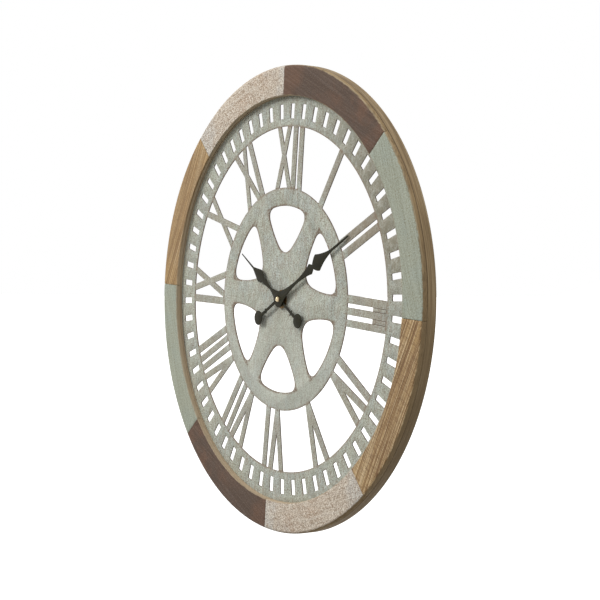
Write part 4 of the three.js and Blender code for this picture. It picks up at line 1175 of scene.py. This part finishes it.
class HandOutline(SimpleNamespace):
    """One side of a hand, from its tail to its tip, in millimetres along the hand and across it."""

    def arc(self, middle, radius, start, end, steps=14):
        points = []
        for step in range(steps + 1):
            turn = math.radians(start + (end - start) * step / steps)
            points.append((middle + radius * math.cos(turn), radius * math.sin(turn)))
        return points

    def side(self):
        disc, hub, stem = self.disc_radius, self.hub_radius, self.stem_half
        disc_meets, hub_meets = (math.degrees(math.asin(stem / radius)) for radius in (disc, hub))
        tail, half = -self.tail_collar, self.tail_collar_half
        points = self.arc(-self.tail_disc, disc, 180, disc_meets)
        points += [(tail - stem, stem), (tail - stem * 0.3, half), (tail + stem * 0.2, half)]
        points += [(tail + stem, stem * 0.9), *self.arc(0, hub, 180 - hub_meets, 55)]
        points += bowed(points[-1], (hub * 1.6, stem * 1.6), (self.flare_end, stem))[1:]
        points += bowed(points[-1], (self.collar * 0.81, stem), (self.collar, self.collar_half))[1:]
        points += [(self.collar + 0.7, self.collar_half * 0.99), (self.neck - 0.5, self.neck_half * 1.1)]
        points += [(self.neck, self.neck_half)]
        lobe = self.neck + self.leaf_lobe * (self.leaf - self.neck)
        points += bowed(points[-1], (lobe, self.leaf_half), (self.leaf, self.leaf_half))[1:]
        hollow = self.leaf + 0.41 * (self.taper_end - self.leaf)
        points += bowed(points[-1], (hollow, self.hollow_half), (self.taper_end, self.taper_half))[1:]
        points += [(self.reach - 0.8, self.tip_half), (self.reach, self.tip_half * 0.5)]
        return points

    def places(self, front):
        upper = self.side()
        lower = [(along, -across) for along, across in reversed(upper[1:])]
        return [flat(across * MM, along * MM, front) for along, across in upper + lower]


MINUTE_HAND = HandOutline(
    reach=167, tip_half=1.3, taper_end=128, taper_half=2, hollow_half=5.1, leaf=99.5, leaf_half=11.3,
    leaf_lobe=0.65, neck=87.5, neck_half=3.2, collar=81.5, collar_half=7.2, stem_half=2.2, flare_end=44,
    tail_collar=33.5, tail_collar_half=3.6, tail_disc=53.5, disc_radius=9.5, hub_radius=10.5,
)
HOUR_HAND = HandOutline(
    reach=110, tip_half=0.7, taper_end=75, taper_half=1.4, hollow_half=5.4, leaf=57.5, leaf_half=8.5,
    leaf_lobe=0.16, neck=46.5, neck_half=3, collar=41, collar_half=4.4, stem_half=1.9, flare_end=25,
    tail_collar=32, tail_collar_half=4.2, tail_disc=50, disc_radius=9.3, hub_radius=10.5,
)


HAND_SHEET = 0.0006
MINUTE_BORE, HOUR_BORE, BUSHING_BORE = 0.00172, 0.00267, 0.00412


class CLOCK_OT_hands(Operator):
    """Draw the two hands and set them to the time shown"""

    bl_idname = "clock.hands"
    bl_label = "Hands"

    def execute(self, context):
        hands = context.scene.clock_hands
        self.hand("minute", MINUTE_HAND, hands.minute_bearing, 0.112, 0.0032, MINUTE_BORE)
        self.hand("hour", HOUR_HAND, hands.hour_bearing, 0.07, 0.0003, HOUR_BORE)
        return {"FINISHED"}

    def hand(self, body, shape, bearing, bend_at, bend, bore):
        """A hand cut from sheet, with softened edges and a blade that leans back from its bend."""
        node = f"{body}_hand"
        front = depths(node)[0]
        piece = plate(f"{node}_finished", shape.places(front), HAND_SHEET)
        cut(piece, cylinder("bore", bore, front - THROUGH, front + 2 * THROUGH, vertices=24))
        bevel(piece, 0.00016, 50, clamp=False)
        with editing(piece):
            bpy.ops.mesh.bisect(plane_co=(0, 0, bend_at), plane_no=(0, 0, 1))
            choose(piece, "verts", lambda vertex: vertex.co.z > bend_at + 0.0001)
            lean = math.atan(bend / (shape.reach * MM - bend_at))
            bpy.ops.transform.rotate(value=lean, orient_axis="X", center_override=(0, front, bend_at))
        settle(twisted(piece, bearing), node, "hand_metal", body=body)


# Nuts and washers on the shafts


class CLOCK_OT_shaft_fittings(Operator):
    """Turn the cap nut, the shaft nut, its washer and the gasket"""

    bl_idname = "clock.shaft_fittings"
    bl_label = "Shaft Fittings"

    def execute(self, context):
        self.cap_nut("minute_cap_nut")
        self.shaft_nut("shaft_nut")
        self.ring("washer_finished", "shaft_washer", 0.012, 0.0002, "brass", "aged_brass")
        self.ring("gasket_finished", "case_gasket", 0.013, 0.0003, "rubber")
        return {"FINISHED"}

    def ring(self, name, node, outer, back_round, slot, finish=None):
        front, back = depths(node)
        section = [(BUSHING_BORE, front), (outer, front), (outer, back), (BUSHING_BORE, back)]
        piece = turned(name, rounded(section, {1: EDGE, 2: back_round}, 3), 96)
        settle(piece, node, slot, finish)

    def cap_nut(self, node):
        front, back = depths(node)
        radius, height, bore = half_width(node), back - front, MINUTE_BORE
        edge, thread_end = 0.0002, front + 0.0012
        dome = [
            (bore, back), (radius - edge, back), (radius, back - edge), (radius, back - height * 0.3),
            (radius * 0.96, back - height * 0.34), (radius * 0.96, back - height * 0.4),
        ]
        for step in range(1, 10):
            turn = math.radians(9 * step)
            dome.append((radius * 0.94 * math.cos(turn), back - height * (0.4 + 0.6 * math.sin(turn))))
        dome += [(0.0, front), (0.0, thread_end), (bore, thread_end)]
        nut = turned("cap_nut_finished", dome, 48)

        def is_rib(face):
            """Every second face of the skirt."""
            middle = face.calc_center_median()
            number = int((math.degrees(math.atan2(middle.z, middle.x)) + 360) / 7.5)
            return middle.xz.length > radius * 0.97 and abs(face.normal.y) < 0.1 and number % 2

        with editing(nut, "FACE"):
            choose(nut, "faces", is_rib)
            bpy.ops.mesh.inset(thickness=0.00008, depth=-0.00012, use_individual=True)
        settle(nut, node, "brass", body="minute")

    def shaft_nut(self, node):
        front, back = depths(node)
        corner = half_width(node)
        sixth = math.radians(30)
        nut = twisted(cylinder("shaft_nut_finished", corner, front, back, vertices=6), sixth)
        if abs(min(vertex.co.x for vertex in nut.data.vertices) + corner) > 1e-5:
            nut = twisted(nut, sixth)
        flats = corner * math.cos(sixth)
        trim, past, inset = 0.0005, 0.0002, 0.0001
        cone = [
            (0, front - past), (flats - inset, front - past), (flats - inset, front), (corner, front + trim),
            (corner + 0.001, back - trim), (corner, back - trim), (flats, back), (flats, back + past),
            (0, back + past),
        ]
        cut(nut, turned("chamfers", cone, 96), "INTERSECT")
        cut(nut, cylinder("bore", BUSHING_BORE, front - THROUGH, back + THROUGH))
        bevel(nut, 0.00012, 30)
        settle(nut, node, "brass", "aged_brass")


# Screws, hanger and pads


class CLOCK_OT_screws(Operator):
    """Turn one screw of each kind and copy it to its places"""

    bl_idname = "clock.screws"
    bl_label = "Screws"

    def execute(self, context):
        for kind, count, head_radius, shank_radius in (
            ("dial_screw", 8, 0.0032, 0.0012), ("hanger_screw", 2, 0.003, 0.0013),
        ):
            screw = self.screw(kind, head_radius, shank_radius, *depths(f"{kind}_1"))
            for number in range(1, count + 1):
                node = f"{kind}_{number}"
                twist = math.radians(37 * number % 90)
                settle(copied(screw, f"{node}_finished", twist, middle_of(node)), node, "steel")
            bpy.data.objects.remove(screw)
        return {"FINISHED"}

    def screw(self, name, head_radius, shank_radius, front, back):
        """A screw whose head looks back: a domed head with a cross recess, and a threaded shank."""
        head, edge, rim, half_slot, slot_depth = 0.0015, 0.0002, 0.0004, 0.00035, 0.0008
        pitch, smooth_shank, point = 0.0009, 0.0006, 0.0012
        neck = back - head
        profile = [(0, back)]
        for step in range(1, 7):
            turn = math.radians(15 * step)
            profile.append((head_radius * math.sin(turn) ** 0.8, neck + rim + (head - rim) * math.cos(turn)))
        profile += [(head_radius, neck + edge), (head_radius - edge, neck), (shank_radius, neck)]
        depth = neck - smooth_shank
        while depth - pitch > front + point:
            profile += [(shank_radius * 0.78, depth - pitch * 0.3), (shank_radius, depth - pitch * 0.6)]
            depth -= pitch
        profile += [(shank_radius * 0.7, depth), (0, front)]
        piece = turned(name, profile, 32)
        recess = head_radius * 0.55
        for long, short in ((recess, half_slot), (half_slot, recess)):
            cut(piece, block("recess", (-long, back - slot_depth, -short), (long, back + 0.001, short)))
        bevel(piece, 0.00006, 40)
        return piece


class CLOCK_OT_hanger(Operator):
    """Cut the keyhole hanger plate and turn the four wall pads"""

    bl_idname = "clock.hanger"
    bl_label = "Hanger and Pads"

    def execute(self, context):
        self.plate("hanger_plate")
        self.pads()
        return {"FINISHED"}

    def plate(self, node):
        low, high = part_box(node)
        front, back = depths(node)
        bottom, top = low.z - AXIS_HEIGHT, high.z - AXIS_HEIGHT
        corners = [(low.x, bottom), (high.x, bottom), (high.x, top), (low.x, top)]
        corner_round = 0.003
        corners = rounded(corners, dict.fromkeys(range(4), corner_round), 6)
        metal = plate("hanger_finished", [flat(x, z, front) for x, z in corners], back - front)
        front, back = front - THROUGH, back + THROUGH
        x, _, z = middle_of(node)
        head_at, neck_end = z - KEYHOLE_TRAVEL / 2, z + KEYHOLE_TRAVEL / 2
        head, neck, screw_hole = 0.0045, 0.0022, 0.0016
        screws = [(x - HANGER_SCREW_OFFSET, z), (x + HANGER_SCREW_OFFSET, z)]
        cut(metal, cylinder("head_hole", head, front, back, [(x, head_at)], 40))
        cut(metal, block("neck", (x - neck, front, head_at), (x + neck, back, neck_end)))
        cut(metal, cylinder("neck_end", neck, front, back, [(x, neck_end)], 24))
        cut(metal, cylinder("screw_holes", screw_hole, front, back, screws, 24))
        bevel(metal, 0.0002, 40)
        settle(metal, node, "steel")

    def pads(self):
        corners = ("upper_right", "upper_left", "lower_left", "lower_right")
        nodes = [f"wall_pad_{corner}" for corner in corners]
        front, back = depths(nodes[0])
        radius = half_width(nodes[0])
        hollow = back - 0.0008
        profile = [
            (0, front), (radius, front), (radius, front + 0.0016), (radius - 0.0011, back),
            (radius * 0.4, back), (radius * 0.36, hollow), (0, hollow),
        ]
        pad = turned("pad", rounded(profile, {1: 0.0004, 3: 0.0012, 4: EDGE}, 4), 64)
        for node in nodes:
            settle(copied(pad, f"{node}_finished", 0, middle_of(node)), node, "rubber")
        bpy.data.objects.remove(pad)


# Movement

# The nodes that keep their shape, with the width in millimetres of their softened edges and their slot
KEPT_SHAPES = (
    ("case_front", 0.4, "case_plastic"),
    ("back_cover", 0.2, "case_plastic"),
    ("middle_plate", 0.12, "gear_white"),
    ("hour_wheel", 0.06, "gear_white"),
    ("minute_arbor", 0.08, "steel"),
    ("motion_wheel", 0.06, "gear_white"),
    ("setting_knob", 0.3, "gear_white"),
    ("centre_wheel", 0.05, "brass"),
    ("third_wheel", 0.05, "gear_yellow"),
    ("second_wheel", 0.05, "gear_white"),
    ("step_wheel", 0.05, "gear_yellow"),
    ("rotor_pinion", 0.05, "gear_white"),
    ("rotor_magnet", 0.15, "magnet"),
    ("stator", 0.06, "steel"),
    ("coil_core", 0.06, "steel"),
    ("coil_bobbin", 0.15, "bobbin_plastic"),
    ("coil_winding", 0.2, "copper"),
    ("circuit_board", 0.08, "board"),
    ("clock_chip", 0.15, "chip"),
    ("quartz_crystal", 0.2, "steel"),
    ("contact_positive", 0.05, "steel"),
    ("contact_negative", 0.05, "steel"),
)


class CLOCK_OT_movement(Operator):
    """Soften and finish the movement's case, wheels, motor and electronics"""

    bl_idname = "clock.movement"
    bl_label = "Movement"

    def execute(self, context):
        for node, width, slot in KEPT_SHAPES:
            refined(node, width * MM, slot)
        self.cell("battery")
        return {"FINISHED"}

    def cell(self, node):
        """The AA cell: a wrapped can with rolled ends and its nub."""
        low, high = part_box(node)
        radius = (high.z - low.z) / 2
        length = high.x - low.x
        nub, nub_radius, roll, sunk, edge = 0.0012, 0.00275, 0.0003, 0.0006, 0.0002
        body = length - nub
        profile = [
            (0, 0), (radius * 0.62, 0), (radius * 0.66, roll), (radius * 0.9, roll), (radius, 0.0001),
            (radius, body), (radius * 0.93, body), (radius * 0.9, body - sunk), (radius * 0.5, body - sunk),
            (nub_radius, body), (nub_radius, length), (0, length),
        ]
        piece = turned("cell_finished", rounded(profile, {4: 0.0005, 5: 0.0005, 10: 0.0004}, 3), 64)
        paint(piece, "steel", "wrapper")
        for face in piece.data.polygons:
            wrapped = face.center.xz.length > radius * 0.985 and edge < face.center.y < body - edge
            face.material_index = int(wrapped)
        activate(piece)
        piece.rotation_euler = (0, 0, math.radians(-90))
        piece.location = (low.x, sum(depths(node)) / 2, middle_of(node)[2])
        bpy.ops.object.transform_apply()
        settle(piece, node, "cell", body="cell")


# Studio


def seen(graph):
    """One where the camera sees the surface straight, in a gloss or through glass."""
    rays = graph.add("LightPath").outputs
    kinds = ("Camera", "Glossy", "Transmission")
    straight, gloss, glass = (Wire(graph, rays[f"Is {kind} Ray"]) for kind in kinds)
    return straight.most(gloss.most(glass))


class CLOCK_OT_studio(Operator):
    """Lay the floor, set the soft lights and place the camera"""

    bl_idname = "clock.studio"
    bl_label = "Studio"

    def execute(self, context):
        studio = context.scene.clock_studio
        self.floor(studio.floor_drop)
        self.world(context.scene, studio.ambient)
        self.light("Key", (-1.7, -2.3, 1.3), 1.3, studio.key_power)
        self.light("Fill", (1.6, -0.9, 2.2), 1.6, studio.fill_power)
        self.light("Back fill", (-0.6, 2.4, 0.5), 1.6, studio.fill_power)
        self.camera(context.scene)
        context.scene.view_settings.view_transform = "Standard"
        return {"FINISHED"}

    def floor(self, drop):
        """A wide floor that rises behind the clock."""
        deselect_all()
        bpy.ops.mesh.primitive_plane_add(size=30, location=(0, 0, -drop))
        floor = newest("floor")
        with editing(floor, "EDGE"):
            choose(floor, "edges", lambda edge: all(vertex.co.y > 0 for vertex in edge.verts))
            extrude((0, 6, 1.5))
        g = Finish("Pale floor", roughness=0.9, metallic=0.0, specular_ior_level=0.1, emission_strength=1.0)
        shown = seen(g)
        pale = g.mix(g.noise(g.place, 3.0, 2.0), srgb(236, 236, 234), srgb(241, 241, 240))
        g.feed("Base Color", g.mix(shown, srgb(150, 150, 148), pale))
        glow = shown * g.distance(g.place).ramp(1.5, 5.0, 0.45, 0.75)
        g.feed("Emission Color", g.mix(glow, (0, 0, 0), (1, 1, 1)))
        floor.data.materials.append(g.material)

    def world(self, scene, ambient):
        """White where it is seen, and a light that is stronger from above on what it lights."""
        world = bpy.data.worlds.new("Studio")
        scene.world = world
        world.use_nodes = True
        world.node_tree.nodes.clear()
        graph = Graph(world.node_tree)
        rise = graph.parts(graph.wire("TexCoord", output="Generated"))[2]
        strength = seen(graph).most(rise.ramp(-0.4, 0.9, 0.5 * ambient, 1.5 * ambient))
        shine = graph.wire("Background", {"Color": (1, 1, 1, 1), "Strength": strength})
        graph.add("OutputWorld", {"Surface": shine})

    def light(self, name, place, size, power):
        """A round soft light that looks at the clock's middle."""
        deselect_all()
        bpy.ops.object.light_add(type="AREA", location=place)
        lamp = newest(name)
        lamp.data.shape = "DISK"
        lamp.data.size = size
        lamp.data.energy = power
        aim = Vector((0, DIAL_FRONT, AXIS_HEIGHT)) - Vector(place)
        lamp.rotation_euler = aim.to_track_quat("-Z", "Y").to_euler()

    def camera(self, scene):
        deselect_all()
        turns = [math.radians(turn) for turn in (85.39053, -3.34104, 55.92987)]
        bpy.ops.object.camera_add(location=(1.5602, -1.0562, -0.1349), rotation=turns)
        camera = newest("camera")
        camera.data.sensor_width = 36
        camera.data.lens = 87.289
        scene.camera = camera


# Panel and registration

OPERATORS = (
    CLOCK_OT_studio,
    CLOCK_OT_rim_planks,
    CLOCK_OT_rim_base,
    CLOCK_OT_dial,
    CLOCK_OT_hands,
    CLOCK_OT_shaft_fittings,
    CLOCK_OT_screws,
    CLOCK_OT_hanger,
    CLOCK_OT_movement,
)


class CLOCK_PT_pieces(Panel):
    """The clock's settings and the operators that build its pieces"""

    bl_idname = "CLOCK_PT_pieces"
    bl_label = "Wall Clock"
    bl_space_type = "VIEW_3D"
    bl_region_type = "UI"
    bl_category = "Wall Clock"

    def draw(self, context):
        layout = self.layout
        for operator in OPERATORS:
            layout.operator(operator.bl_idname)
        for name, group in SETTINGS.items():
            box = layout.box()
            box.label(text=group.__name__.replace("Settings", ""))
            for setting in group.__annotations__:
                box.prop(getattr(context.scene, name), setting)


CLASSES = (*SETTINGS.values(), *OPERATORS, CLOCK_PT_pieces)


def register():
    for cls in CLASSES:
        bpy.utils.register_class(cls)
    for name, group in SETTINGS.items():
        setattr(bpy.types.Scene, name, PointerProperty(type=group))


def unregister():
    for name in SETTINGS:
        delattr(bpy.types.Scene, name)
    for cls in reversed(CLASSES):
        bpy.utils.unregister_class(cls)


def main():
    register()
    build_materials()
    for operator in OPERATORS:
        category, call = operator.bl_idname.split(".")
        getattr(getattr(bpy.ops, category), call)()
    deselect_all()


if __name__ == "__main__":
    main()
